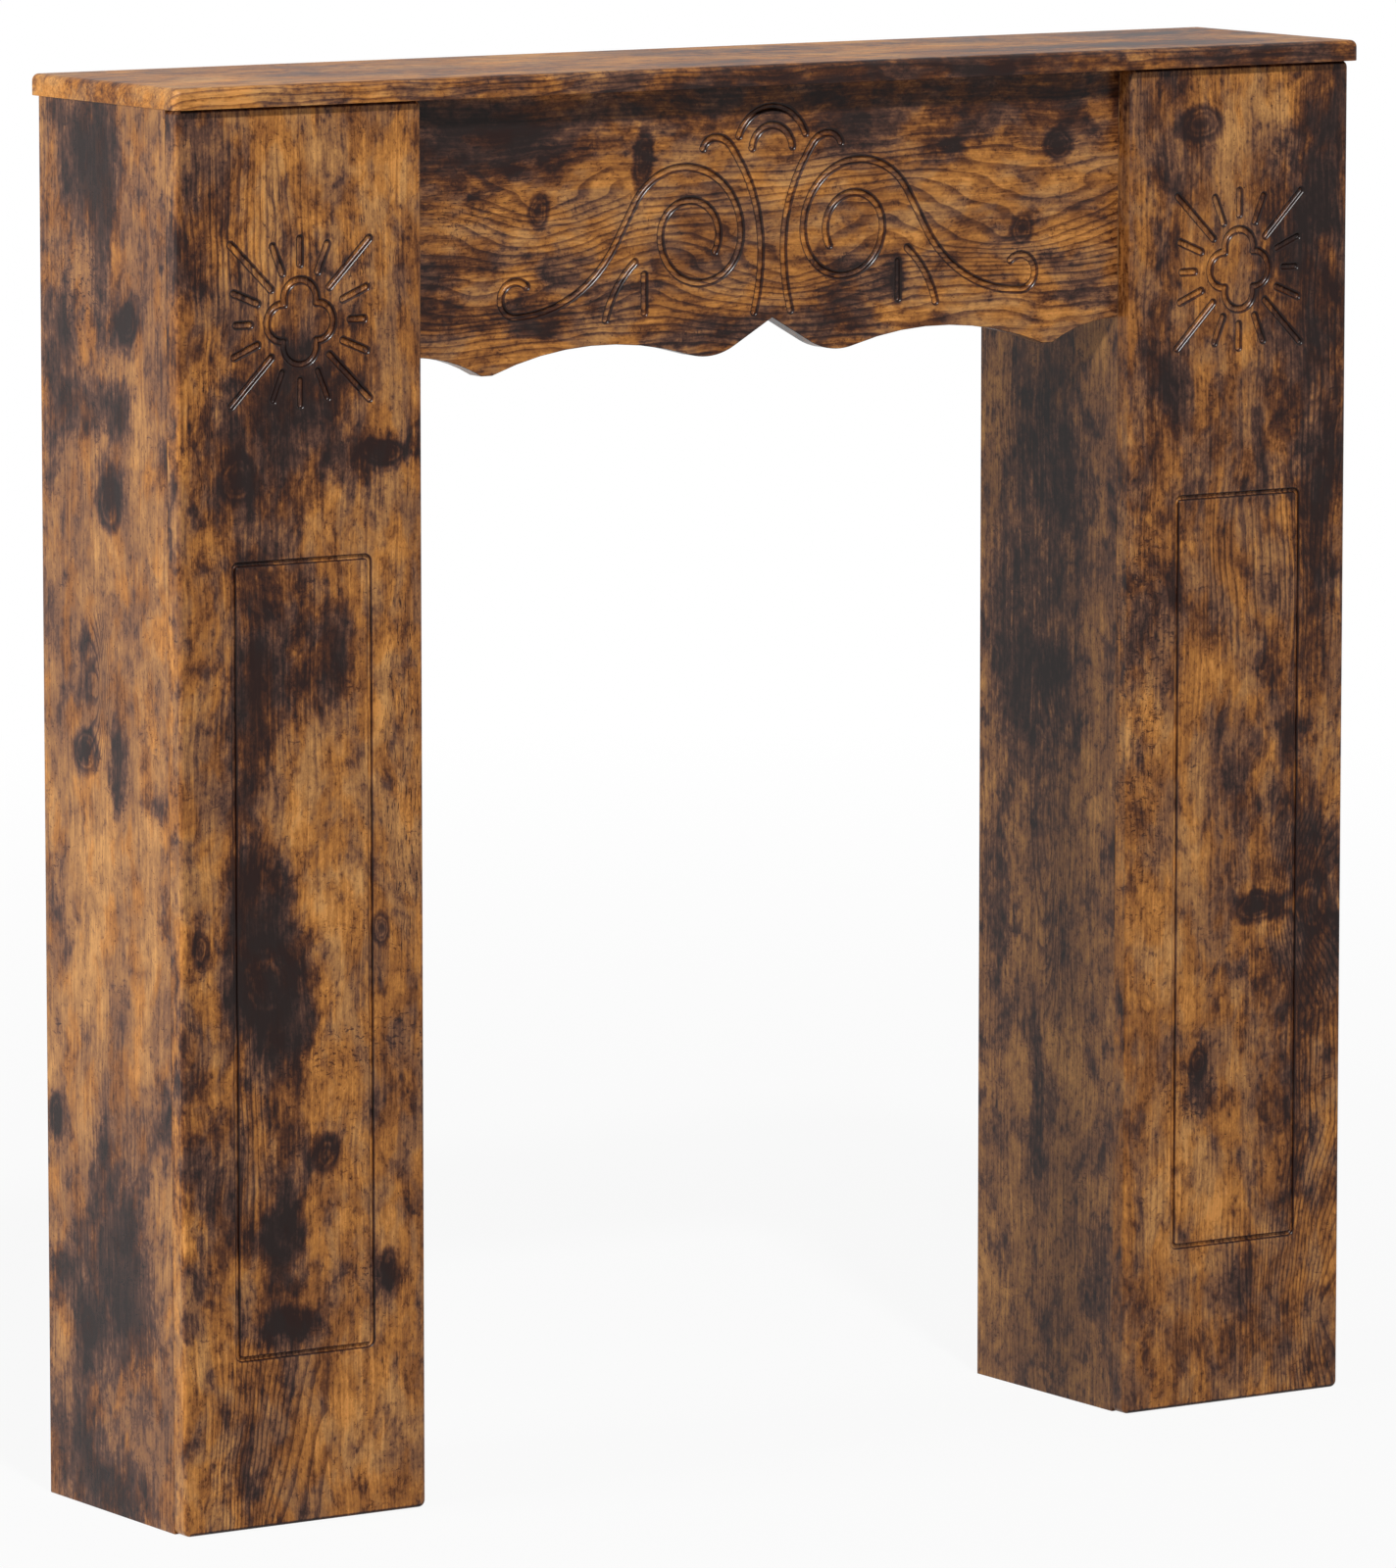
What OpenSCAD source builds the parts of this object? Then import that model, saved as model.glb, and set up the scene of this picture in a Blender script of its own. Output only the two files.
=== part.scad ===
// Fireplace surround: two box columns, a scalloped header between them and a mantel shelf on top.
// Millimetres. X runs to the right, Y towards the wall, Z up; the origin is on the floor, mid width
// and mid depth. Every board is one solid; cam locks and dowels join them as in flat-pack furniture.

/* [Overall] */
// Width over the two columns
surround_w = 990; // [880:1:1400]
// Height from the floor to the top of the shelf
total_h = 1000; // [800:1:1400]
// Depth of a column, from the front face to the wall
column_d = 188; // [140:1:350]
// Thickness of every board
board_t = 15; // [15:0.5:25]

/* [Columns] */
// Width of a column
column_w = 195; // [155:1:250]
// Rounding of the front board's front edges
front_ease = 3; // [1:0.5:4]
// Corner radius of the front board, seen from the front
front_corner_r = 5; // [4:0.5:12]
// Height of the rails that hold each column's sides apart
rail_h = 80; // [70:1:140]

/* [Shelf] */
// How far the shelf stands past the columns at each side
shelf_side_lip = 5; // [0:0.5:40]
// How far the shelf stands past the front boards
shelf_front_lip = 7; // [0:0.5:40]
// Rounding of the shelf's top edges
shelf_ease = 5; // [1:0.5:7]
// Corner radius of the shelf, seen from above
shelf_corner_r = 6; // [5:0.5:12]

/* [Header] */
// Height of the header, from its lowest points to the shelf
header_h = 195; // [190:1:260]
// Gap between the header and each column
header_fit = 0.3; // [0.1:0.1:1]
// Height of the rail behind the header, at the wall
back_rail_h = 80; // [70:1:140]

/* [Scalloped edge] */
// Depth of the long hollows above the lowest points
hollow_rise = 17; // [12:0.5:22]
// Distance of the two round lobes from the middle
lobe_x = 56.2; // [50:0.1:62]
// Radius of the two round lobes
lobe_r = 48; // [40:1:56]
// Height of the lobes above the lowest points
lobe_rise = 4.6; // [2:0.2:8]
// Height of the notch in the middle above the lowest points
notch_rise = 29.5; // [24:0.5:36]
// Width of the flat tips between the long hollows and the half hollows
tip_w = 8.8; // [4:0.1:20]
// Radius of the half hollows that end at the columns
end_r = 115; // [90:1:140]
// Depth of the half hollows above the lowest points
end_rise = 15.5; // [10:0.5:20]

/* [Routed ornament] */
// Width of the routed lines
line_w = 8; // [5:0.5:9]
// Depth of the routed lines
line_depth = 2.5; // [1:0.25:3]
// Distance of the sunburst's centre below the shelf
sun_drop = 148.5; // [110:0.5:180]
// Width of the panel outline on a column
panel_w = 114; // [80:1:140]
// Distance of the panel outline's top below the shelf
panel_drop = 310; // [240:1:400]
// Height of the panel outline above the floor
panel_base = 117.5; // [60:0.5:160]
// Width of the routed line of the panel outline
panel_line_w = 5.5; // [3:0.5:8]
// Corner radius of the panel outline
panel_corner_r = 6.5; // [3:0.5:12]

/* [Fittings] */
// Diameter of a cam lock
cam_d = 15; // [15:0.5:20]
// Depth of a cam lock's pocket
cam_pocket = 12.5; // [12:0.5:13]
// Distance of a cam lock from the joint
cam_setback = 34; // [24:1:40]
// Diameter of the bore that a cam bolt runs in
bolt_bore_d = 8; // [7:0.5:8]
// Diameter of a cam bolt's thread
thread_d = 6; // [5:0.5:7]
// Depth of the hole that the thread goes into
thread_depth = 11; // [10:0.5:12]
// Diameter of a wooden dowel
dowel_d = 8; // [6:1:8]
// Length of a wooden dowel
dowel_l = 30; // [24:1:40]
// Clearance around cam locks, threads and dowels
fitting_gap = 0.1; // [0.05:0.05:0.3]
// Diameter of the wall-fixing holes in the back rail
wall_hole_d = 5; // [4:0.5:8]
// Distance between the wall-fixing holes
wall_hole_spacing = 400; // [200:1:480]

/* [Hidden] */
$fn = 96;

// A little extra that lets a cutter run past the face it cuts.
past = 1;
// How far the chords of a curved outline may lie inside it.
chord_gap = 0.03;

column_h = total_h - board_t;
opening_w = surround_w - 2 * column_w;
shelf_w = surround_w + 2 * shelf_side_lip;
shelf_d = column_d + shelf_front_lip;
wall_y = shelf_d / 2;
front_y = wall_y - column_d;
side_d = column_d - board_t;
rail_w = column_w - 2 * board_t;
header_w = opening_w - 2 * header_fit;
header_y = front_y + board_t;
panel_h = column_h - panel_drop - panel_base;

// Where the fittings sit, measured in a column's own frame.
joint_inset = 80;
front_cam_z = [joint_inset, column_h / 2, column_h - joint_inset];
front_dowel_z = [for (i = [0, 1]) (front_cam_z[i] + front_cam_z[i + 1]) / 2];
shelf_cam_inset = [75, 50];
shelf_cam_y = [shelf_cam_inset[0], column_d - shelf_cam_inset[1]];
rail_z = [rail_h / 2, column_h - rail_h / 2];
rail_pitch = 16;
back_rail_z = column_h - back_rail_h / 2;
back_rail_pitch = 28;
header_z = column_h - header_h;
header_cam_inset = [45, 40];
header_cam_z = [header_z + header_cam_inset[0], column_h - header_cam_inset[1]];
header_dowel_rise = 100;
header_dowel_z = header_z + header_dowel_rise;
shelf_dowel_x = 150;

// Directions of a fitting: its Z runs into the board that takes the cam, its X towards the face
// that the cam is pressed into.
into_back_face_right = [-90, 0, 0];
into_back_face_left = [90, 0, 180];
into_rail_right = [-90, 0, -90];
into_rail_left = [90, 0, -90];
down_face_right = [180, 0, 0];
down_face_left = [0, 180, 0];
into_header = [-90, 0, 90];

// Places of the fittings, as position and direction in a column's own frame.
inner_x = board_t / 2;
outer_x = column_w - board_t / 2;
rail_y = column_d - board_t / 2;
inner_front_cams = [for (z = front_cam_z) [[inner_x, board_t, z], into_back_face_right]];
outer_front_cams = [for (z = front_cam_z) [[outer_x, board_t, z], into_back_face_left]];
inner_front_dowels = [for (z = front_dowel_z) [[inner_x, board_t, z], into_back_face_right]];
outer_front_dowels = [for (z = front_dowel_z) [[outer_x, board_t, z], into_back_face_left]];
inner_rail_cams = [for (z = rail_z) [[board_t, rail_y, z + rail_pitch], into_rail_right]];
outer_rail_cams =
    [for (z = rail_z) [[column_w - board_t, rail_y, z + rail_pitch], into_rail_left]];
inner_rail_dowels = [for (z = rail_z) [[board_t, rail_y, z - rail_pitch], into_rail_right]];
outer_rail_dowels =
    [for (z = rail_z) [[column_w - board_t, rail_y, z - rail_pitch], into_rail_left]];
inner_shelf_cams = [for (y = shelf_cam_y) [[inner_x, y, column_h], down_face_right]];
outer_shelf_cams = [for (y = shelf_cam_y) [[outer_x, y, column_h], down_face_left]];
header_end_y = board_t + board_t / 2;
header_end_cams = [for (z = header_cam_z) [[0, header_end_y, z], into_header]];
header_end_dowels = [[[0, header_end_y, header_dowel_z], into_header]];
back_rail_end_cams = [[[0, rail_y, back_rail_z], into_rail_left]];
back_rail_end_dowels =
    [for (s = [-1, 1]) [[0, rail_y, back_rail_z + s * back_rail_pitch], into_rail_left]];
shelf_dowels_at = [for (y = [header_y + board_t / 2, wall_y - board_t / 2])
    [[shelf_dowel_x, y, column_h], down_face_right]];

wood = "#7b4f2a";
dark_wood = "#5b3a24";
zinc = "#b9bcc0";
steel = "#8d8f93";
beech = "#d6b483";

// Places its children on the right column (side 1) or, mirrored, on the left one (side -1).
module on_column(side) {
    mirror([side < 0 ? 1 : 0, 0, 0]) translate([opening_w / 2, front_y, 0]) children();
}

module on_both_columns() {
    for (side = [-1, 1]) on_column(side) children();
}

// Places its children at each fitting of a list.
module at_fittings(places) {
    for (place = places) translate(place[0]) rotate(place[1]) children();
}

// Places its children on an upright face that looks to the front: X right, Y up, Z out of it.
module on_front_face(x, y, z) {
    translate([x, y, z]) rotate([90, 0, 0]) children();
}

// Cross-section of an eased edge: from the inside at X 0 to the outside at X corner_r.
module edge_section(t, ease, corner_r) {
    square([corner_r, t - ease]);
    translate([0, t - ease]) square([corner_r - ease, ease]);
    translate([corner_r - ease, t - ease]) intersection() {
        circle(ease);
        square(ease);
    }
}

// A flat board, w by h, whose upper edges are eased and whose corners are round.
module eased_board(w, h, t, ease, corner_r) {
    flat_w = w - 2 * corner_r;
    flat_h = h - 2 * corner_r;
    translate([corner_r, corner_r, 0]) cube([flat_w, flat_h, t]);
    corners = [[w - corner_r, h - corner_r], [corner_r, h - corner_r],
        [corner_r, corner_r], [w - corner_r, corner_r]];
    runs = [flat_w, flat_h, flat_w, flat_h];
    for (i = [0:3]) translate([corners[i][0], corners[i][1], 0]) rotate(90 * i) {
        rotate_extrude(angle = 90) edge_section(t, ease, corner_r);
        rotate([90, 0, 90]) translate([0, 0, -runs[i]]) linear_extrude(runs[i])
            edge_section(t, ease, corner_r);
    }
}

// A straight routed line with round ends, as the cutter leaves it.
module straight_line(start, heading, length) {
    translate([start[0], start[1], -line_depth]) rotate(heading) {
        translate([0, -line_w / 2, 0]) cube([length, line_w, line_depth + past]);
        for (end = [0, 1]) translate([end * length, 0, 0])
            rotate_extrude(angle = 180, start = 90 - 180 * end)
            square([line_w / 2, line_depth + past]);
    }
}

// How many chords an arc takes when none lies more than chord_gap inside it.
function chord_count(r, turn) = max(1, ceil(abs(turn) / (2 * acos(1 - chord_gap / r))));

// Points of an arc about a centre, from one angle to another.
function arc_points(centre, r, from, to) =
    let (n = chord_count(r, to - from))
    [for (i = [0:n]) let (a = from + (to - from) * i / n) centre + r * [cos(a), sin(a)]];

// A point at a distance to the left of a pose, which is [x, y, heading].
function beside(pose, distance) =
    [pose[0] - distance * sin(pose[2]), pose[1] + distance * cos(pose[2])];

// Poses along a routed line that starts at a pose and follows its steps. A step is [radius, turn],
// with the turn to the left positive, or [0, length] for a straight.
function line_poses(pose, steps, i = 0) =
    i == len(steps) ? [pose]
    : steps[i][0] == 0
        ? concat([pose], line_poses(straight_end(pose, steps[i][1]), steps, i + 1))
        : let (
            turn = steps[i][1],
            reach = sign(turn) * steps[i][0],
            centre = beside(pose, reach),
            n = chord_count(steps[i][0], turn))
        concat(
            [for (k = [0:n - 1]) arc_pose(centre, reach, pose[2] + turn * k / n)],
            line_poses(arc_pose(centre, reach, pose[2] + turn), steps, i + 1));

function straight_end(pose, length) =
    [pose[0] + length * cos(pose[2]), pose[1] + length * sin(pose[2]), pose[2]];

function arc_pose(centre, reach, heading) =
    [centre[0] + reach * sin(heading), centre[1] - reach * cos(heading), heading];

// A curved routed line: its right side, its far end, its left side and its near end.
module routed_line(start, heading, steps) {
    poses = line_poses([start[0], start[1], heading], steps);
    last = poses[len(poses) - 1];
    half = line_w / 2;
    translate([0, 0, -line_depth]) linear_extrude(line_depth + past) polygon(concat(
        [for (pose = poses) beside(pose, -half)],
        inner_points(arc_points([last[0], last[1]], half, last[2] - 90, last[2] + 90)),
        [for (i = [len(poses) - 1:-1:0]) beside(poses[i], half)],
        inner_points(arc_points(start, half, heading + 90, heading + 270))));
}

// A list of points without its first and last one.
function inner_points(points) = [for (i = [1:len(points) - 2]) points[i]];

// Cutter for the panel outline, drawn about its lower middle.
module panel_outline() {
    inner_w = panel_w - 2 * panel_line_w;
    inner_h = panel_h - 2 * panel_line_w;
    translate([0, 0, -line_depth]) difference() {
        translate([-panel_w / 2, 0, 0])
            rounded_prism(panel_w, panel_h, line_depth + past, panel_corner_r);
        translate([-inner_w / 2, panel_line_w, -past])
            cube([inner_w, inner_h, line_depth + 3 * past]);
    }
}

// An upright prism, w by h, with round corners.
module rounded_prism(w, h, t, r) {
    translate([r, 0, 0]) cube([w - 2 * r, h, t]);
    for (x = [0, w - r]) translate([x, r, 0]) cube([r, h - 2 * r, t]);
    corners = [[w - r, h - r], [r, h - r], [r, r], [w - r, r]];
    for (i = [0:3]) translate([corners[i][0], corners[i][1], 0]) rotate(90 * i)
        rotate_extrude(angle = 90) square([r, t]);
}

// Sunburst: sixteen rays, long on the diagonals, around a four-lobed flower.
ray_count = 16;
ray_starts = [40, 37, 33, 37];
ray_ends = [57, 57, 78, 57];
side_ray_end = 51;
lobe_path_r = 13;
lobe_out = [13.5, 16];

function ray_end(i) = i % (ray_count / 2) == 0 ? side_ray_end : ray_ends[i % 4];

// The corner where the cutter's path goes from one lobe of the flower to the next.
half_span = norm(lobe_out) / 2;
corner_reach = sqrt(pow(lobe_path_r, 2) - pow(half_span, 2)) / norm(lobe_out);
lobe_corner = [lobe_out[0] / 2 + corner_reach * lobe_out[1],
    lobe_out[1] / 2 + corner_reach * lobe_out[0]];

module flower_shape(lobe_radius, t) {
    for (s = [-1, 1]) {
        translate([s * lobe_out[0], 0, 0]) cylinder(r = lobe_radius, h = t);
        translate([0, s * lobe_out[1], 0]) cylinder(r = lobe_radius, h = t);
    }
    linear_extrude(t) polygon([[lobe_out[0], 0], lobe_corner, [0, lobe_out[1]],
        [-lobe_corner[0], lobe_corner[1]], [-lobe_out[0], 0], -lobe_corner,
        [0, -lobe_out[1]], [lobe_corner[0], -lobe_corner[1]]]);
}

module flower_outline() {
    t = line_depth + past;
    corner_ease = 0.4;
    inner_corner_r = line_w / 2 + corner_ease;
    translate([0, 0, -line_depth]) difference() {
        flower_shape(lobe_path_r + line_w / 2, t);
        translate([0, 0, -past]) difference() {
            flower_shape(lobe_path_r - line_w / 2, t + 2 * past);
            for (sx = [-1, 1], sy = [-1, 1])
                translate([sx * lobe_corner[0], sy * lobe_corner[1], -past])
                cylinder(r = inner_corner_r, h = t + 4 * past);
        }
    }
}

module sunburst() {
    flower_outline();
    for (i = [0:ray_count - 1]) {
        start = ray_starts[i % 4];
        angle = 360 * i / ray_count;
        straight_line(start * [cos(angle), sin(angle)], angle, ray_end(i) - start);
    }
}

// Header ornament, drawn about the middle of the header's lowest edge.
arch_centre_z = 148.5;
arch_radii = [30, 17];
arch_turns = [140, 170];
// The scroll: its small curl, long tail, straight, wide crown, underside and inner turn.
scroll_end = [-205.2, 60.8];
scroll_heading = 135;
scroll_steps = [[12.5, 225], [95, 60], [0, 32], [48, -150], [34, -180], [24.5, -210]];
plume_foot = [-15.5, 34];
plume_heading = 74.4;
plume_steps = [[164, 15.6], [120, 34], [0, 7], [17, 56], [11, 70]];
long_petal_foot = [-140, 34.5];
long_petal_heading = 76;
long_petal_steps = [[75, -36]];
short_petal_foot = [-107.5, 38];
short_petal_l = 26.5;

module header_ornament() {
    for (i = [0, 1]) {
        turn = arch_turns[i];
        start_angle = 90 - turn / 2;
        start = [arch_radii[i] * cos(start_angle), arch_centre_z + arch_radii[i] * sin(start_angle)];
        routed_line(start, start_angle + 90, [[arch_radii[i], turn]]);
    }
    for (m = [0, 1]) mirror([m, 0, 0]) {
        routed_line(scroll_end, scroll_heading, scroll_steps);
        routed_line(plume_foot, plume_heading, plume_steps);
        routed_line(long_petal_foot, long_petal_heading, long_petal_steps);
        straight_line(short_petal_foot, 90, short_petal_l);
    }
}

// Wavy edge of the header, drawn about the middle of its lowest points. From the notch in the
// middle, a straight flank touches a round lobe, the lobe passes into a long hollow, and past a
// flat tip a half hollow ends at the column.
lobe_centre_z = lobe_rise + lobe_r;
notch_span = [lobe_x, lobe_centre_z - notch_rise];
flank_angle = atan2(notch_span[1], notch_span[0]) - asin(lobe_r / norm(notch_span));
end_centre_z = end_rise - end_r;
end_start_angle = 180 - asin(-end_centre_z / end_r);
end_angle = 90 + asin(header_fit / end_r);
hollow_end_x = opening_w / 2 + end_r * cos(end_start_angle) - tip_w;

// The long hollow touches the lobe and rises to hollow_rise. Its run to the tip and its run to
// the lobe, both from its middle, are roots that add up to hollow_span and give its radius.
hollow_span = hollow_end_x - lobe_x;
lobe_above = lobe_centre_z - hollow_rise;
tip_gain = 2 * hollow_rise;
lobe_gain = 2 * (lobe_r - lobe_above);
gain_gap = lobe_gain - tip_gain;
gain_sum = lobe_gain * pow(hollow_rise, 2) + tip_gain * (pow(lobe_r, 2) - pow(lobe_above, 2));
tip_run = (sqrt(pow(tip_gain * hollow_span, 2) + gain_gap * (tip_gain * pow(hollow_span, 2)
    - gain_sum)) - tip_gain * hollow_span) / gain_gap;
hollow_r = (pow(tip_run, 2) + pow(hollow_rise, 2)) / tip_gain;
hollow_x = hollow_end_x - tip_run;
hollow_centre_z = hollow_rise - hollow_r;
join_angle = atan2(hollow_centre_z - lobe_centre_z, hollow_x - lobe_x);
hollow_end_angle = asin(-hollow_centre_z / hollow_r);

wavy_edge = concat(
    [[0, notch_rise]],
    arc_points([lobe_x, lobe_centre_z], lobe_r, flank_angle - 90, join_angle),
    inner_points(arc_points([hollow_x, hollow_centre_z], hollow_r, join_angle + 180,
        hollow_end_angle)),
    [[hollow_end_x, 0]],
    arc_points([opening_w / 2, end_centre_z], end_r, end_start_angle, end_angle));

module header_outline() {
    half_w = header_w / 2;
    last = len(wavy_edge) - 1;
    polygon(concat(
        wavy_edge,
        [[half_w, header_h], [-half_w, header_h]],
        [for (i = [last:-1:1]) [-wavy_edge[i][0], wavy_edge[i][1]]]));
}

// What a cam joint takes out of the board that holds the cam.
module cam_cut() {
    translate([0, 0, -past]) cylinder(d = bolt_bore_d, h = cam_setback + past);
    translate([board_t / 2 - cam_pocket, 0, cam_setback]) rotate([0, 90, 0])
        cylinder(d = cam_d + 2 * fitting_gap, h = cam_pocket + past);
}

// What a cam joint takes out of the board that holds the bolt's thread.
module thread_cut() {
    translate([0, 0, -thread_depth]) cylinder(d = thread_d + 2 * fitting_gap, h = thread_depth + past);
}

dowel_face_l = 10.5;
dowel_bottom_gap = 0.5;

// Holes of a dowel joint: the long one in the board's edge, the short one in the other's face.
module dowel_edge_cut() {
    translate([0, 0, -past]) cylinder(d = dowel_d + 2 * fitting_gap,
        h = dowel_l - dowel_face_l + dowel_bottom_gap + past);
}

module dowel_face_cut() {
    depth = dowel_face_l + dowel_bottom_gap;
    translate([0, 0, -depth]) cylinder(d = dowel_d + 2 * fitting_gap, h = depth + past);
}

module dowel() {
    chamfer = 1;
    translate([0, 0, -dowel_face_l]) rotate_extrude() polygon([[0, 0], [dowel_d / 2 - chamfer, 0],
        [dowel_d / 2, chamfer], [dowel_d / 2, dowel_l - chamfer],
        [dowel_d / 2 - chamfer, dowel_l], [0, dowel_l]]);
}

thread_bottom_gap = 0.5;
bolt_head_d = 6.5;
bolt_head_l = 2.5;
bolt_neck_d = 4;
bolt_neck_l = 4.5;
bolt_collar_d = 7;
bolt_collar_l = 2;
cam_floor = 0.5;

// A cam bolt: thread, collar, shank, neck and head, from its tip upwards.
module cam_bolt() {
    point = 1;
    tip = thread_bottom_gap - thread_depth;
    head_top = cam_setback + bolt_head_l / 2;
    neck_top = head_top - bolt_head_l;
    shank_top = neck_top - bolt_neck_l;
    rotate_extrude() polygon([[0, tip], [thread_d / 2 - point, tip], [thread_d / 2, tip + point],
        [thread_d / 2, 0], [bolt_collar_d / 2, 0], [bolt_collar_d / 2, bolt_collar_l],
        [thread_d / 2, bolt_collar_l], [thread_d / 2, shank_top], [bolt_neck_d / 2, shank_top],
        [bolt_neck_d / 2, neck_top], [bolt_head_d / 2, neck_top], [bolt_head_d / 2, head_top],
        [0, head_top]]);
}

// A cam lock: a drum with a mouth for the bolt's head and a cross recess for the screwdriver.
module cam() {
    mouth_gap = 0.5;
    mouth_d = bolt_head_d + 2 * mouth_gap;
    drum_h = cam_pocket - cam_floor;
    recess_l = 9;
    recess_w = 1.6;
    recess_depth = 1.8;
    difference() {
        translate([board_t / 2 - drum_h, 0, cam_setback]) rotate([0, 90, 0])
            cylinder(d = cam_d, h = drum_h);
        translate([0, 0, cam_setback - cam_d]) cylinder(d = mouth_d, h = cam_d + bolt_head_l);
        for (a = [0, 90]) translate([board_t / 2, 0, cam_setback]) rotate([a, 0, 0])
            cube([2 * recess_depth, recess_w, recess_l], center = true);
    }
}

module mantel_shelf() {
    color(wood) difference() {
        translate([-shelf_w / 2, wall_y - shelf_d, column_h]) intersection() {
            eased_board(shelf_w, shelf_d + shelf_corner_r, board_t, shelf_ease, shelf_corner_r);
            cube([shelf_w, shelf_d, board_t]);
        }
        on_both_columns() at_fittings(concat(inner_shelf_cams, outer_shelf_cams)) thread_cut();
        for (m = [0, 1]) mirror([m, 0, 0]) at_fittings(shelf_dowels_at) dowel_face_cut();
    }
}

module header_panel() {
    color(wood) difference() {
        on_front_face(0, header_y + board_t, header_z) linear_extrude(board_t) header_outline();
        on_front_face(0, header_y, header_z) header_ornament();
        on_both_columns() {
            at_fittings(header_end_cams) cam_cut();
            at_fittings(header_end_dowels) dowel_edge_cut();
        }
        for (m = [0, 1]) mirror([m, 0, 0]) at_fittings([shelf_dowels_at[0]]) dowel_edge_cut();
    }
}

module back_rail() {
    color(dark_wood) difference() {
        translate([-header_w / 2, wall_y - board_t, column_h - back_rail_h])
            cube([header_w, board_t, back_rail_h]);
        on_both_columns() {
            at_fittings(back_rail_end_cams) cam_cut();
            at_fittings(back_rail_end_dowels) dowel_edge_cut();
        }
        for (m = [0, 1]) mirror([m, 0, 0]) at_fittings([shelf_dowels_at[1]]) dowel_edge_cut();
        for (s = [-1, 1]) translate([s * wall_hole_spacing / 2, wall_y + past, back_rail_z])
            rotate([90, 0, 0]) cylinder(d = wall_hole_d, h = board_t + 2 * past);
    }
}

module front_board(side) {
    color(wood) on_column(side) difference() {
        on_front_face(0, board_t, 0)
            eased_board(column_w, column_h, board_t, front_ease, front_corner_r);
        on_front_face(column_w / 2, 0, panel_base) panel_outline();
        on_front_face(column_w / 2, 0, column_h - sun_drop) sunburst();
        at_fittings(concat(inner_front_cams, outer_front_cams)) thread_cut();
        at_fittings(concat(inner_front_dowels, outer_front_dowels)) dowel_face_cut();
    }
}

module outer_side(side) {
    color(wood) on_column(side) difference() {
        translate([column_w - board_t, board_t, 0]) cube([board_t, side_d, column_h]);
        at_fittings(concat(outer_front_cams, outer_shelf_cams)) cam_cut();
        at_fittings(outer_front_dowels) dowel_edge_cut();
        at_fittings(outer_rail_cams) thread_cut();
        at_fittings(outer_rail_dowels) dowel_face_cut();
    }
}

module inner_side(side) {
    color(wood) on_column(side) difference() {
        translate([0, board_t, 0]) cube([board_t, side_d, column_h]);
        at_fittings(concat(inner_front_cams, inner_shelf_cams)) cam_cut();
        at_fittings(inner_front_dowels) dowel_edge_cut();
        at_fittings(concat(inner_rail_cams, header_end_cams, back_rail_end_cams)) thread_cut();
        at_fittings(concat(inner_rail_dowels, header_end_dowels, back_rail_end_dowels))
            dowel_face_cut();
    }
}

// A column's rail at the floor (level 0) or under the shelf (level 1).
module column_rail(side, level) {
    color(dark_wood) on_column(side) difference() {
        translate([board_t, column_d - board_t, rail_z[level] - rail_h / 2])
            cube([rail_w, board_t, rail_h]);
        at_fittings([inner_rail_cams[level], outer_rail_cams[level]]) cam_cut();
        at_fittings([inner_rail_dowels[level], outer_rail_dowels[level]]) dowel_edge_cut();
    }
}

column_cam_places = concat(inner_front_cams, outer_front_cams, inner_rail_cams, outer_rail_cams);
column_dowel_places =
    concat(inner_front_dowels, outer_front_dowels, inner_rail_dowels, outer_rail_dowels);
shelf_cam_places = concat(inner_shelf_cams, outer_shelf_cams);

module column_cams(side) {
    color(zinc) on_column(side) at_fittings(column_cam_places) cam();
}

module column_cam_bolts(side) {
    color(steel) on_column(side) at_fittings(column_cam_places) cam_bolt();
}

module column_dowels(side) {
    color(beech) on_column(side) at_fittings(column_dowel_places) dowel();
}

module header_cams() {
    color(zinc) on_both_columns() at_fittings(header_end_cams) cam();
}

module header_cam_bolts() {
    color(steel) on_both_columns() at_fittings(header_end_cams) cam_bolt();
}

module header_dowels() {
    color(beech) on_both_columns() at_fittings(header_end_dowels) dowel();
}

module back_rail_cams() {
    color(zinc) on_both_columns() at_fittings(back_rail_end_cams) cam();
}

module back_rail_cam_bolts() {
    color(steel) on_both_columns() at_fittings(back_rail_end_cams) cam_bolt();
}

module back_rail_dowels() {
    color(beech) on_both_columns() at_fittings(back_rail_end_dowels) dowel();
}

module shelf_cams() {
    color(zinc) on_both_columns() at_fittings(shelf_cam_places) cam();
}

module shelf_cam_bolts() {
    color(steel) on_both_columns() at_fittings(shelf_cam_places) cam_bolt();
}

module shelf_dowels() {
    color(beech) for (m = [0, 1]) mirror([m, 0, 0]) at_fittings(shelf_dowels_at) dowel();
}

mantel_shelf();
header_panel();
back_rail();
front_board(-1);  // left_front_board
outer_side(-1);  // left_outer_side
inner_side(-1);  // left_inner_side
column_rail(-1, 1);  // left_top_rail
column_rail(-1, 0);  // left_bottom_rail
front_board(1);  // right_front_board
outer_side(1);  // right_outer_side
inner_side(1);  // right_inner_side
column_rail(1, 1);  // right_top_rail
column_rail(1, 0);  // right_bottom_rail
column_cams(-1);  // left_column_cams
column_cam_bolts(-1);  // left_column_cam_bolts
column_dowels(-1);  // left_column_dowels
column_cams(1);  // right_column_cams
column_cam_bolts(1);  // right_column_cam_bolts
column_dowels(1);  // right_column_dowels
header_cams();
header_cam_bolts();
header_dowels();
back_rail_cams();
back_rail_cam_bolts();
back_rail_dowels();
shelf_cams();
shelf_cam_bolts();
shelf_dowels();
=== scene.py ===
"""Looks of a fireplace surround in rustic wood-print boards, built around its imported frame."""

import itertools
import math

import bmesh
import bpy
from mathutils import Matrix, Vector


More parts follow.
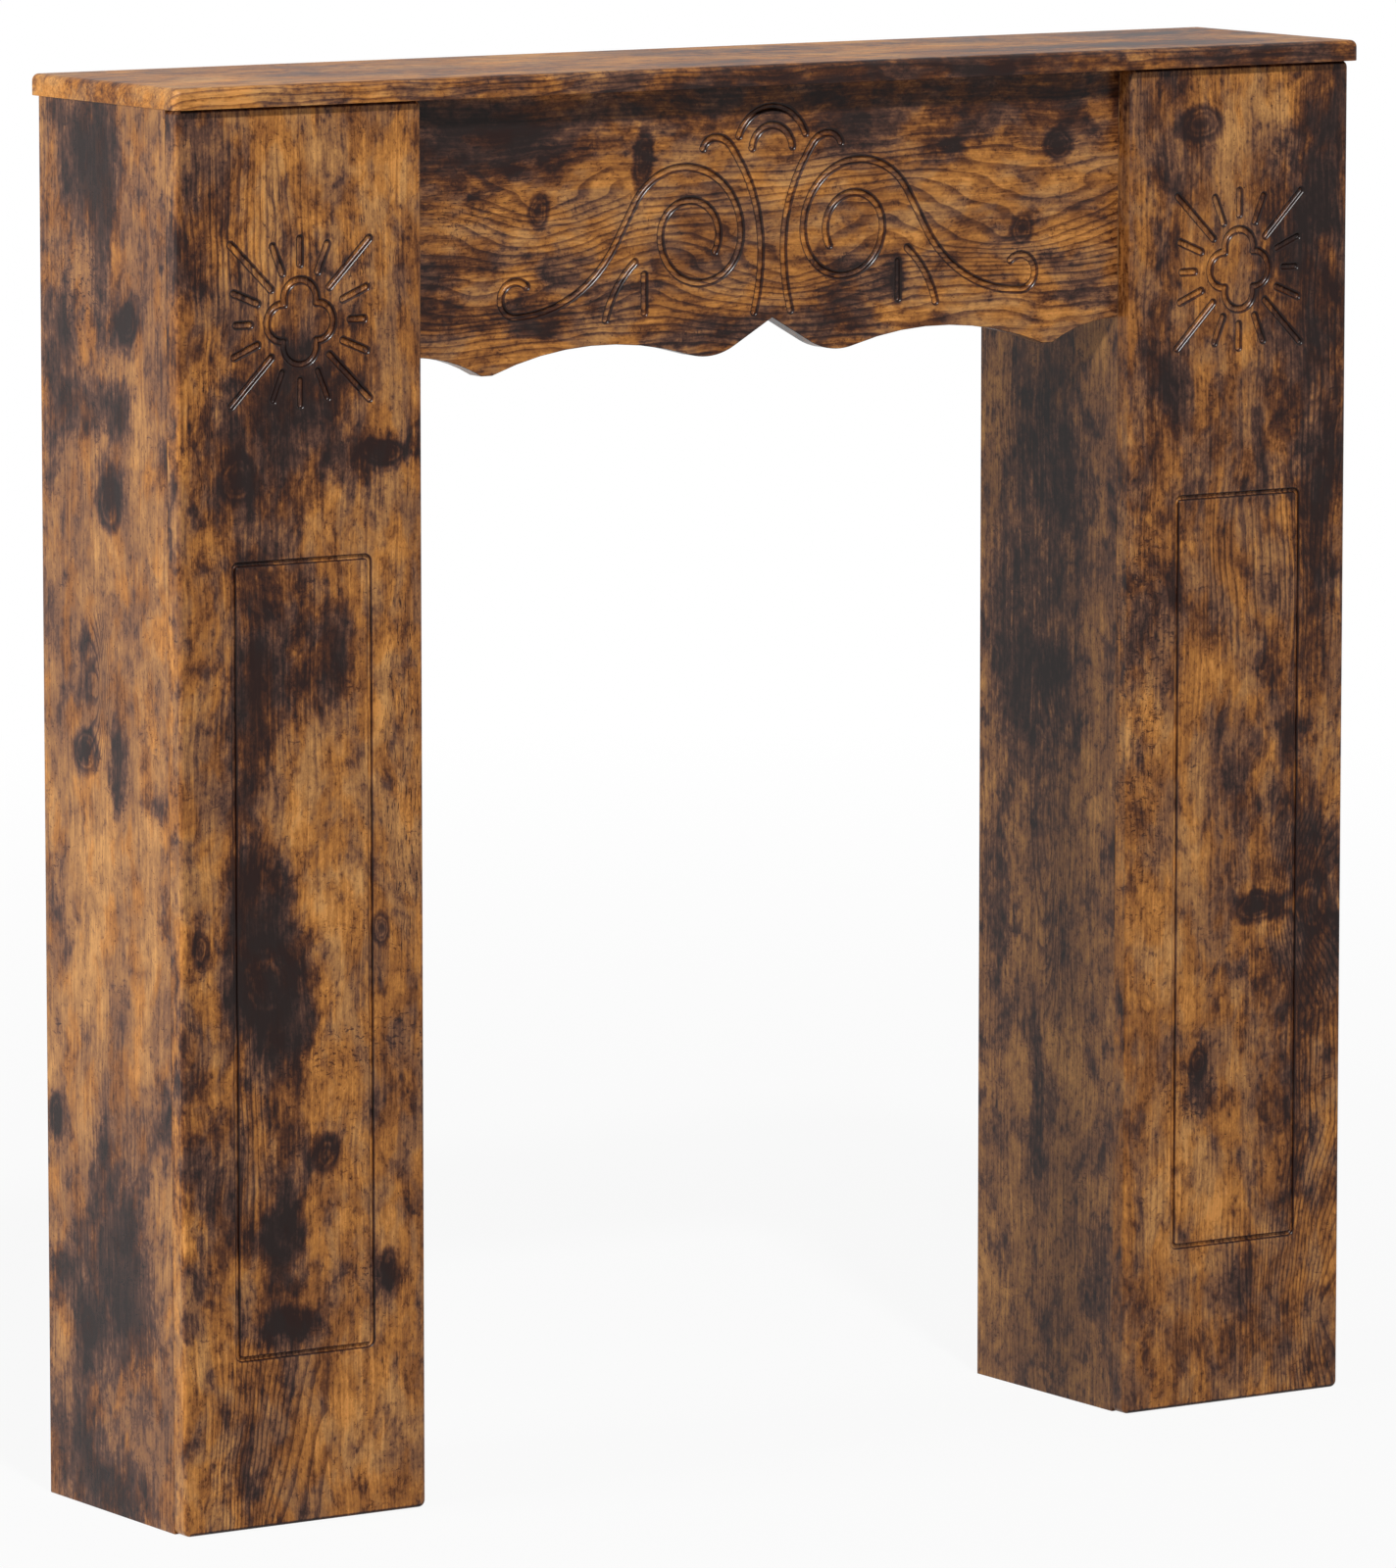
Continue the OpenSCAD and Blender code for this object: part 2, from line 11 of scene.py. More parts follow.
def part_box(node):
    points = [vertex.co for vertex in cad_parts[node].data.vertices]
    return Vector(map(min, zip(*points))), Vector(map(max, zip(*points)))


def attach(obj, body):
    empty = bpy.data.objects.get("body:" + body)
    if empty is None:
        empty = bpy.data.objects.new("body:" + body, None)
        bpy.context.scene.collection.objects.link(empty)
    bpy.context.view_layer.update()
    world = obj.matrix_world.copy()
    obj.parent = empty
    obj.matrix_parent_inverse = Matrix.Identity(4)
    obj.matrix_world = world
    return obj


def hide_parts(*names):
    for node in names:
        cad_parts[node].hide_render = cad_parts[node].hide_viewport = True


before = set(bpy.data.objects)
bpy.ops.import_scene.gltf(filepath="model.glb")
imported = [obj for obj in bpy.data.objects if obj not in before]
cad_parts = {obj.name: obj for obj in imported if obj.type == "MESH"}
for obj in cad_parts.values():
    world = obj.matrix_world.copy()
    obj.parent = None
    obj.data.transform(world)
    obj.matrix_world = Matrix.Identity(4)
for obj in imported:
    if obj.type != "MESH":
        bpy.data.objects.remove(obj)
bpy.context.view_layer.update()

# Lengths below are in millimetres and become metres where a mesh is finished. The studio and the
# camera are given in metres.
MM = 0.001
TO_MM = (1 / MM,) * 3
Y, Z = Vector((0, 1, 0)), Vector((0, 0, 1))
# Coordinates this close are taken as equal, and vertices this close are made one.
SAME = 0.01
WELD = 0.001

# Boards. An ease is the rounding of a board's front or top edges, an arris a barely broken edge.
BOARD_T = 15
FRONT_EASE = 3
FRONT_CORNER_R = 5
SHELF_EASE = 5
SHELF_CORNER_R = 6
EASE_SEGMENTS = 6
ARRIS = 0.5
ARRIS_SEGMENTS = 2
HEADER_ARRIS_SEGMENTS = 3
SHARP_FROM = math.radians(32)
FLAT_WITHIN = math.radians(0.5)

# Routed lines: a rounded lip runs from the line's width into a hollow with a narrow flat bottom.
# The lip has its share of the two radii, and starts a little above the face for a clean cut.
LINE_W = 8
PANEL_LINE_W = 5.5
LINE_DEPTH = 2.5
BOTTOM_W = 0.5
LIP_SHARE = 0.6
LIP_LIFT = 0.02
CUT_TOP = 1
ARC_STEP = math.radians(5)
LEAST_STEPS = 3
END_STEPS = 12
LINE_WELD = 0.002

# Sunburst: how far its centre is below the board's top, where its rays start and end, four of
# them by turns, and how far the lobes' middles are out to the side and upwards.
SUN_DROP = 148.5
RAY_COUNT = 16
RAY_STARTS = (40, 37, 33, 37)
RAY_ENDS = (57, 57, 78, 57)
SIDE_RAY_END = 51
LOBE_PATH_R = 13
LOBE_OUT = Vector((13.5, 16))

# Panel outline, to the line's outer edge.
PANEL_W = 114
PANEL_BASE = 117.5
PANEL_DROP = 310
PANEL_CORNER_R = 6.5

# Header ornament, drawn about the middle of the header's lowest edge. An arch is its radius and
# turn. The others are a start, a heading and the steps that rout() takes.
ARCH_CENTRE_Z = 148.5
ARCHES = ((30, 140), (17, 170))
SCROLL = ((-205.2, 60.8), 135, ((12.5, 225), (95, 60), (0, 32), (48, -150), (34, -180), (24.5, -210)))
PLUME = ((-15.5, 34), 74.4, ((164, 15.6), (120, 34), (0, 7), (17, 56), (11, 70)))
LONG_PETAL = ((-140, 34.5), 76, ((75, -36),))
SHORT_PETAL = ((-107.5, 38), 90, ((0, 26.5),))

# Wavy edge of the header, from its middle: a notch, a round lobe, a hollow and an end hollow, whose
# centre lies a little past the header's end.
LOBE_X = 56.2
LOBE_R = 48
LOBE_RISE = 4.6
NOTCH_RISE = 29.5
HOLLOW_X = 142
HOLLOW_R = 255
HOLLOW_RISE = 17
END_R = 115
END_RISE = 15.5
END_PAST = 0.3

# The header's pockets for its cam locks.
CAM_R = 7.5
CAM_FIT = 0.1
CAM_POCKET = 12.5
CUT_PAST = 2
ROD_SEGMENTS = 48


def srgb(code):
    """Linear colour of an sRGB hex value."""
    parts = [int(code[i:i + 2], 16) / 255 for i in (0, 2, 4)]
    return [p / 12.92 if p <= 0.04045 else ((p + 0.055) / 1.055) ** 2.4 for p in parts] + [1]


def add(tree, kind, inputs=None, out=0, **settings):
    """Adds a shader node and returns one of its outputs. inputs maps a socket's name or number
    to a value or to the output that feeds it."""
    node = tree.nodes.new("ShaderNode" + kind)
    for name, value in settings.items():
        setattr(node, name, value)
    for key, value in (inputs or {}).items():
        if isinstance(value, bpy.types.NodeSocket):
            tree.links.new(value, node.inputs[key])
        else:
            node.inputs[key].default_value = value
    return node.outputs[out]


# In a bmesh, line() and arc() draw like a pen, from a vertex on.


def line(bm, vert, offset):
    """Draws a straight edge from vert and returns its far end."""
    far = bmesh.ops.extrude_vert_indiv(bm, verts=[vert])["verts"][0]
    far.co = vert.co + Vector(offset)
    return far


def arc_steps(angle):
    """How many straight steps an arc gets."""
    return max(LEAST_STEPS, math.ceil(abs(angle) / ARC_STEP))


def arc(bm, vert, to_centre, axis, angle):
    """Draws an arc from vert around a centre and returns its far end."""
    steps = arc_steps(angle)
    centre = vert.co + Vector(to_centre)
    made = bmesh.ops.spin(bm, geom=[vert], cent=centre, axis=axis, angle=angle, steps=steps)
    return next(g for g in made["geom_last"] if isinstance(g, bmesh.types.BMVert))


def half_section(bm, width):
    """Draws the right half of a routed line's section, from above the face to the bottom."""
    run = (width - BOTTOM_W) / 2
    slope = 2 * math.atan(LINE_DEPTH / run)
    radii = LINE_DEPTH / (1 - math.cos(slope))
    lip, hollow = LIP_SHARE * radii, (1 - LIP_SHARE) * radii
    vert = bm.verts.new((0, 0, CUT_TOP))
    vert = line(bm, vert, (width / 2, 0, 0))
    vert = line(bm, vert, (0, 0, LIP_LIFT - CUT_TOP))
    vert = arc(bm, vert, (0, 0, -lip), Y, -slope)
    vert = arc(bm, vert, (-hollow * math.sin(slope), 0, hollow * math.cos(slope)), Y, slope)
    line(bm, vert, (-vert.co.x, 0, 0))


def swept(bm, chain, centre, angle, steps):
    """Turns a chain of edges about an upright axis and returns the chain it ends as."""
    return bmesh.ops.spin(bm, geom=chain, cent=centre, axis=Z, angle=angle, steps=steps)["geom_last"]


def shifted(bm, chain, offset):
    """Draws a chain of edges out along offset and returns the chain it ends as."""
    edges = [g for g in chain if isinstance(g, bmesh.types.BMEdge)]
    made = bmesh.ops.extrude_edge_only(bm, edges=edges)["geom"]
    verts = [g for g in made if isinstance(g, bmesh.types.BMVert)]
    bmesh.ops.translate(bm, verts=verts, vec=offset)
    edges = [g for g in made if isinstance(g, bmesh.types.BMEdge)]
    return verts + [e for e in edges if all(v in verts for v in e.verts)]


def rout(cutters, start, heading, steps, width=LINE_W, closed=False):
    """Adds the solid that a router takes out along a line. A step is (radius, turn in degrees),
    with the turn to the left positive, or (0, length) for a straight."""
    bm = bmesh.new()
    half_section(bm, width)
    right = bm.verts[:] + bm.edges[:]
    if closed:
        left = bmesh.ops.duplicate(bm, geom=right)["geom"]
        verts = [g for g in left if isinstance(g, bmesh.types.BMVert)]
        bmesh.ops.scale(bm, verts=verts, vec=(-1, 1, 1))
    else:
        left = swept(bm, right, (0, 0, 0), -math.pi, END_STEPS)
    place = Vector((0, 0, 0))
    ahead = Y.copy()
    for radius, amount in steps:
        if radius == 0:
            move = ahead * amount
            right, left = [shifted(bm, side, move) for side in (right, left)]
            place += move
            continue
        turn = math.radians(amount)
        rotation = Matrix.Rotation(turn, 3, "Z")
        centre = place + Z.cross(ahead) * math.copysign(radius, turn)
        count = arc_steps(turn)
        right, left = [swept(bm, side, centre, turn, count) for side in (right, left)]
        place = centre + rotation @ (place - centre)
        ahead = rotation @ ahead
    if not closed:
        swept(bm, right, place, math.pi, END_STEPS)
    bmesh.ops.remove_doubles(bm, verts=bm.verts, dist=LINE_WELD)
    bmesh.ops.recalc_face_normals(bm, faces=bm.faces)
    to_start = Matrix.Translation((start[0], start[1], 0))
    bmesh.ops.transform(
        bm, verts=bm.verts, matrix=to_start @ Matrix.Rotation(math.radians(heading - 90), 4, "Z"))
    add_to(cutters, bm)


def add_to(whole, bm):
    """Moves the contents of bm into whole."""
    mesh = bpy.data.meshes.new("part")
    bm.to_mesh(mesh)
    bm.free()
    whole.from_mesh(mesh)
    bpy.data.meshes.remove(mesh)


def rod(cutters, centre, radius, length):
    """Adds an upright round cutter whose middle is at centre."""
    bm = bmesh.new()
    bmesh.ops.create_cone(
        bm, cap_ends=True, segments=ROD_SEGMENTS, radius1=radius, radius2=radius, depth=length,
        matrix=Matrix.Translation(centre))
    add_to(cutters, bm)


def carved(bm, groups):
    """Cuts groups of solids out of bm, one group after the other, and returns the mesh."""
    mesh = bpy.data.meshes.new("carved")
    bm.to_mesh(mesh)
    bm.free()
    block = bpy.data.objects.new("block", mesh)
    bpy.context.collection.objects.link(block)
    made = [block]
    for group in groups:
        cutter = bpy.data.objects.new("cutter", bpy.data.meshes.new("cutter"))
        group.to_mesh(cutter.data)
        group.free()
        bpy.context.collection.objects.link(cutter)
        made.append(cutter)
        cut = block.modifiers.new("cut", "BOOLEAN")
        cut.operation = "DIFFERENCE"
        cut.solver = "MANIFOLD"
        cut.object = cutter
    shape = block.evaluated_get(bpy.context.evaluated_depsgraph_get())
    result = bpy.data.meshes.new_from_object(shape)
    for item in made:
        bpy.data.objects.remove(item)
    return result


def finished(name, mesh, place, node, material):
    """Makes the piece that stands for a node. place brings the drawing to the part's frame."""
    mesh.transform(Matrix.Scale(MM, 4) @ place)
    for face in mesh.polygons:
        face.use_smooth = True
    mesh.set_sharp_from_angle(angle=SHARP_FROM)
    mesh.materials.clear()
    mesh.materials.append(material)
    mesh.name = name
    piece = bpy.data.objects.new(name, mesh)
    bpy.context.collection.objects.link(piece)
    weigh = piece.modifiers.new("flat faces stay flat", "WEIGHTED_NORMAL")
    weigh.keep_sharp = True
    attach(piece, "root")
    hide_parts(node)


def bm_mesh(bm):
    """The mesh of a finished bmesh."""
    mesh = bpy.data.meshes.new("plain")
    bm.to_mesh(mesh)
    bm.free()
    return mesh


# A drawing has X to the right, Y up and Z out of the face; this turns it to face the room.
FACING_ROOM = Matrix(((1, 0, 0, 0), (0, 0, -1, 0), (0, 1, 0, 0), (0, 0, 0, 1)))


def box_mm(node):
    """The lowest and highest corner of a CAD node."""
    low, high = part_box(node)
    return low / MM, high / MM


def edges_where(bm, test):
    """The edges both of whose ends pass a test on their place."""
    return [e for e in bm.edges if all(test(v.co) for v in e.verts)]


def bevel(bm, edges, offset, segments):
    bmesh.ops.bevel(
        bm, geom=edges, offset=offset, segments=segments, profile=0.5, affect="EDGES",
        material=-1, clamp_overlap=True)


def plate(width, height, thickness):
    """A plain board: its lower middle is at the origin and its front face at Z 0."""
    bm = bmesh.new()
    size = Matrix.Diagonal((width, height, thickness, 1))
    bmesh.ops.create_cube(bm, matrix=Matrix.Translation((0, height / 2, -thickness / 2)) @ size)
    return bm


def near(a, b):
    return abs(a - b) < SAME


def front_board(side):
    """A column's front, eased on its front edges, with its sunburst and its panel outline."""
    node = side + "_front_board"
    low, high = box_mm(node)
    width, height = high.x - low.x, high.z
    bm = plate(width, height, BOARD_T)
    upright = [e for e in bm.edges if not near(e.verts[0].co.z, e.verts[1].co.z)]
    bevel(bm, upright, FRONT_CORNER_R, EASE_SEGMENTS)
    bevel(bm, edges_where(bm, lambda c: near(c.z, 0)), FRONT_EASE, EASE_SEGMENTS)
    bevel(bm, edges_where(bm, lambda c: near(c.z, -BOARD_T)), ARRIS, ARRIS_SEGMENTS)
    lines, upper_lobes = bmesh.new(), bmesh.new()
    sunburst(lines, upper_lobes, height - SUN_DROP)
    panel_outline(lines, height - PANEL_DROP)
    place = Matrix.Translation(((low.x + high.x) / 2, low.y, 0)) @ FACING_ROOM
    finished(
        node + "_routed", carved(bm, [lines, upper_lobes]), place, node,
        rustic_print(node, (low, high)))


def sunburst(lines, upper_lobes, centre_z):
    """Sixteen rays around a four-lobed flower. Lobes that cross go to different groups."""
    for i in range(RAY_COUNT):
        start = RAY_STARTS[i % len(RAY_STARTS)]
        end = SIDE_RAY_END if i % (RAY_COUNT // 2) == 0 else RAY_ENDS[i % len(RAY_ENDS)]
        angle = 360 * i / RAY_COUNT
        foot = start * math.cos(math.radians(angle)), centre_z + start * math.sin(math.radians(angle))
        rout(lines, foot, angle, ((0, end - start),))
    # A side lobe and an upper lobe meet in a corner, where both arcs end.
    reach = math.sqrt(LOBE_PATH_R ** 2 - LOBE_OUT.length_squared / 4) / LOBE_OUT.length
    corner = LOBE_OUT / 2 + reach * Vector((LOBE_OUT.y, LOBE_OUT.x))
    side_open = math.degrees(math.atan2(corner.y, corner.x - LOBE_OUT.x))
    top_open = math.degrees(math.atan2(corner.x, corner.y - LOBE_OUT.y))
    for group, out, facing, half_turn in (
            (lines, LOBE_OUT.x, 0, side_open), (lines, LOBE_OUT.x, 180, side_open),
            (upper_lobes, LOBE_OUT.y, 90, top_open), (upper_lobes, LOBE_OUT.y, 270, top_open)):
        middle = out * Vector((math.cos(math.radians(facing)), math.sin(math.radians(facing))))
        first = math.radians(facing - half_turn)
        start = middle + LOBE_PATH_R * Vector((math.cos(first), math.sin(first)))
        rout(group, (start.x, start.y + centre_z), facing - half_turn + 90,
            ((LOBE_PATH_R, 2 * half_turn),))


def panel_outline(lines, top_z):
    """A closed line with round corners, whose outer edge is the panel's size."""
    middle = PANEL_LINE_W / 2
    radius = PANEL_CORNER_R - middle
    run_x = PANEL_W - 2 * PANEL_CORNER_R
    run_z = top_z - PANEL_BASE - 2 * PANEL_CORNER_R
    steps = ((0, run_x), (radius, 90), (0, run_z), (radius, 90)) * 2
    rout(lines, (-run_x / 2, PANEL_BASE + middle), 0, steps, PANEL_LINE_W, closed=True)


def wavy_edge(bm, half_width, height):
    """Draws the header's right half from the notch to the top, and returns the last corner."""
    # A straight flank runs from the notch into the lobe, tangent to it.
    lobe_z = LOBE_RISE + LOBE_R
    span = Vector((LOBE_X, lobe_z - NOTCH_RISE))
    flank = math.atan2(span.y, span.x) - math.asin(LOBE_R / span.length)
    flank_l = math.sqrt(span.length_squared - LOBE_R ** 2)
    # The lobe ends where the hollow's circle begins, and the hollow where it comes down to 0.
    hollow = Vector((HOLLOW_X, HOLLOW_RISE - HOLLOW_R))
    join = math.atan2(hollow.y - lobe_z, hollow.x - LOBE_X)
    tip = math.asin(-hollow.y / HOLLOW_R)
    vert = bm.verts.new((0, NOTCH_RISE, 0))
    vert = line(bm, vert, (flank_l * math.cos(flank), flank_l * math.sin(flank), 0))
    vert = arc(bm, vert, (LOBE_X - vert.co.x, lobe_z - vert.co.y, 0), Z, join - flank + math.pi / 2)
    start = math.atan2(vert.co.y - hollow.y, vert.co.x - hollow.x)
    vert = arc(bm, vert, (hollow.x - vert.co.x, hollow.y - vert.co.y, 0), Z, tip - start)
    end = Vector((half_width + END_PAST, END_RISE - END_R))
    end_from = math.pi - math.asin(-end.y / END_R)
    end_to = math.pi / 2 + math.asin(END_PAST / END_R)
    end_x = end.x + END_R * math.cos(end_from)
    vert = line(bm, vert, (end_x - vert.co.x, -vert.co.y, 0))
    vert = arc(bm, vert, (end.x - vert.co.x, end.y, 0), Z, end_to - end_from)
    return line(bm, vert, (0, height - vert.co.y, 0))


def header():
    """The wavy-edged board over the opening, with its routed ornament."""
    low, high = box_mm("header_panel")
    height = high.z - low.z
    bm = bmesh.new()
    corner = wavy_edge(bm, high.x, height)
    line(bm, corner, (-corner.co.x, 0, 0))
    bmesh.ops.contextual_create(bm, geom=bm.edges[:])
    bmesh.ops.mirror(bm, geom=bm.verts[:] + bm.edges[:] + bm.faces[:], axis="X", merge_dist=WELD)
    seam = edges_where(bm, lambda c: near(c.x, 0))
    bmesh.ops.dissolve_edges(bm, edges=seam, use_verts=False)
    body = bmesh.ops.extrude_face_region(bm, geom=bm.faces[:])["geom"]
    verts = [g for g in body if isinstance(g, bmesh.types.BMVert)]
    bmesh.ops.translate(bm, verts=verts, vec=(0, 0, -BOARD_T))
    bmesh.ops.recalc_face_normals(bm, faces=bm.faces)
    bevel(bm, edges_where(bm, lambda c: near(c.z, 0)), ARRIS, HEADER_ARRIS_SEGMENTS)
    scrolls, plumes, arches, bores = (bmesh.new() for _ in range(4))
    for group, (start, heading, steps) in (
            (scrolls, SCROLL), (plumes, PLUME), (plumes, LONG_PETAL), (plumes, SHORT_PETAL)):
        rout(group, start, heading, steps)
        mirrored = [(r, -a if r else a) for r, a in steps]
        rout(group, (-start[0], start[1]), 180 - heading, mirrored)
    for radius, turn in ARCHES:
        first = math.radians(90 - turn / 2)
        start = radius * math.cos(first), ARCH_CENTRE_Z + radius * math.sin(first)
        rout(arches, start, 180 - turn / 2, ((radius, turn),))
    cam_low, cam_high = box_mm("header_cams")
    length = CAM_POCKET + CUT_PAST
    for x in (cam_low.x + CAM_R, cam_high.x - CAM_R):
        for z in (cam_low.z + CAM_R, cam_high.z - CAM_R):
            rod(bores, (x, z - low.z, length / 2 - BOARD_T - CUT_PAST), CAM_R + CAM_FIT, length)
    place = Matrix.Translation((0, low.y, low.z)) @ FACING_ROOM
    finished(
        "header_panel_routed", carved(bm, [scrolls, plumes, arches, bores]), place, "header_panel",
        rustic_print("header_panel", (low, high)))


def shelf():
    """The shelf, drawn from above: Y towards the wall and Z up, with its top at Z 0."""
    low, high = box_mm("mantel_shelf")
    depth = high.y - low.y
    bm = plate(high.x - low.x, depth, BOARD_T)
    front = [e for e in edges_where(bm, lambda c: near(c.y, 0))
        if not near(e.verts[0].co.z, e.verts[1].co.z)]
    bevel(bm, front, SHELF_CORNER_R, EASE_SEGMENTS)
    top = [e for e in edges_where(bm, lambda c: near(c.z, 0))
        if not all(near(v.co.y, depth) for v in e.verts)]
    bevel(bm, top, SHELF_EASE, EASE_SEGMENTS)
    under = [e for e in edges_where(bm, lambda c: near(c.z, -BOARD_T))
        if not all(near(v.co.y, depth) for v in e.verts)]
    bevel(bm, under, ARRIS, ARRIS_SEGMENTS)
    place = Matrix.Translation((0, low.y, high.z))
    finished("mantel_shelf_eased", bm_mesh(bm), place, "mantel_shelf",
        rustic_print("mantel_shelf"))


def plain_board(node):
    """A flat board with its bores, taken from the frame, whose long edges get a small arris."""
    low, high = box_mm(node)
    bm = bmesh.new()
    bm.from_mesh(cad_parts[node].data)
    bmesh.ops.scale(bm, vec=TO_MM, verts=bm.verts)
    bmesh.ops.remove_doubles(bm, verts=bm.verts, dist=WELD)
    bmesh.ops.dissolve_limit(bm, angle_limit=FLAT_WITHIN, verts=bm.verts, edges=bm.edges)

    def planes(co):
        return {(i, s) for i in range(3) for s, wall in ((0, low), (1, high)) if near(co[i], wall[i])}

    rims = [e for e in bm.edges if len(planes(e.verts[0].co) & planes(e.verts[1].co)) == 2]
    bevel(bm, rims, ARRIS, ARRIS_SEGMENTS)
    finished(node + "_edged", bm_mesh(bm), Matrix.Identity(4), node,
        rustic_print(node))


# Studio, in metres and watts: name, place, aim, side length and power of each lamp. Only gloss
# sees the highlight lamp, which gives the fine bright lines along the routing.
HIGHLIGHT = "highlight lamp"
LAMPS = (
    ("front softbox", (-1.6, -5.2, 5.9), (0, 0, 0.5), 0.6, 410),
    ("left softbox", (-3.6, 0.1, 1.5), (-0.5, 0, 0.5), 1.2, 85),
    (HIGHLIGHT, (-1.6, -5.2, 5.9), (0, 0, 0.5), 0.4, 700))
WORLD_LIGHT = 0.1
FLOOR_REACH = 30
# To the eye the floor is mostly plain white, and wholly white where it has faded into the
# background, this far from its middle.
FLOOR_GLOW = 0.92
FADE_FROM, FADE_TO = 1, 4

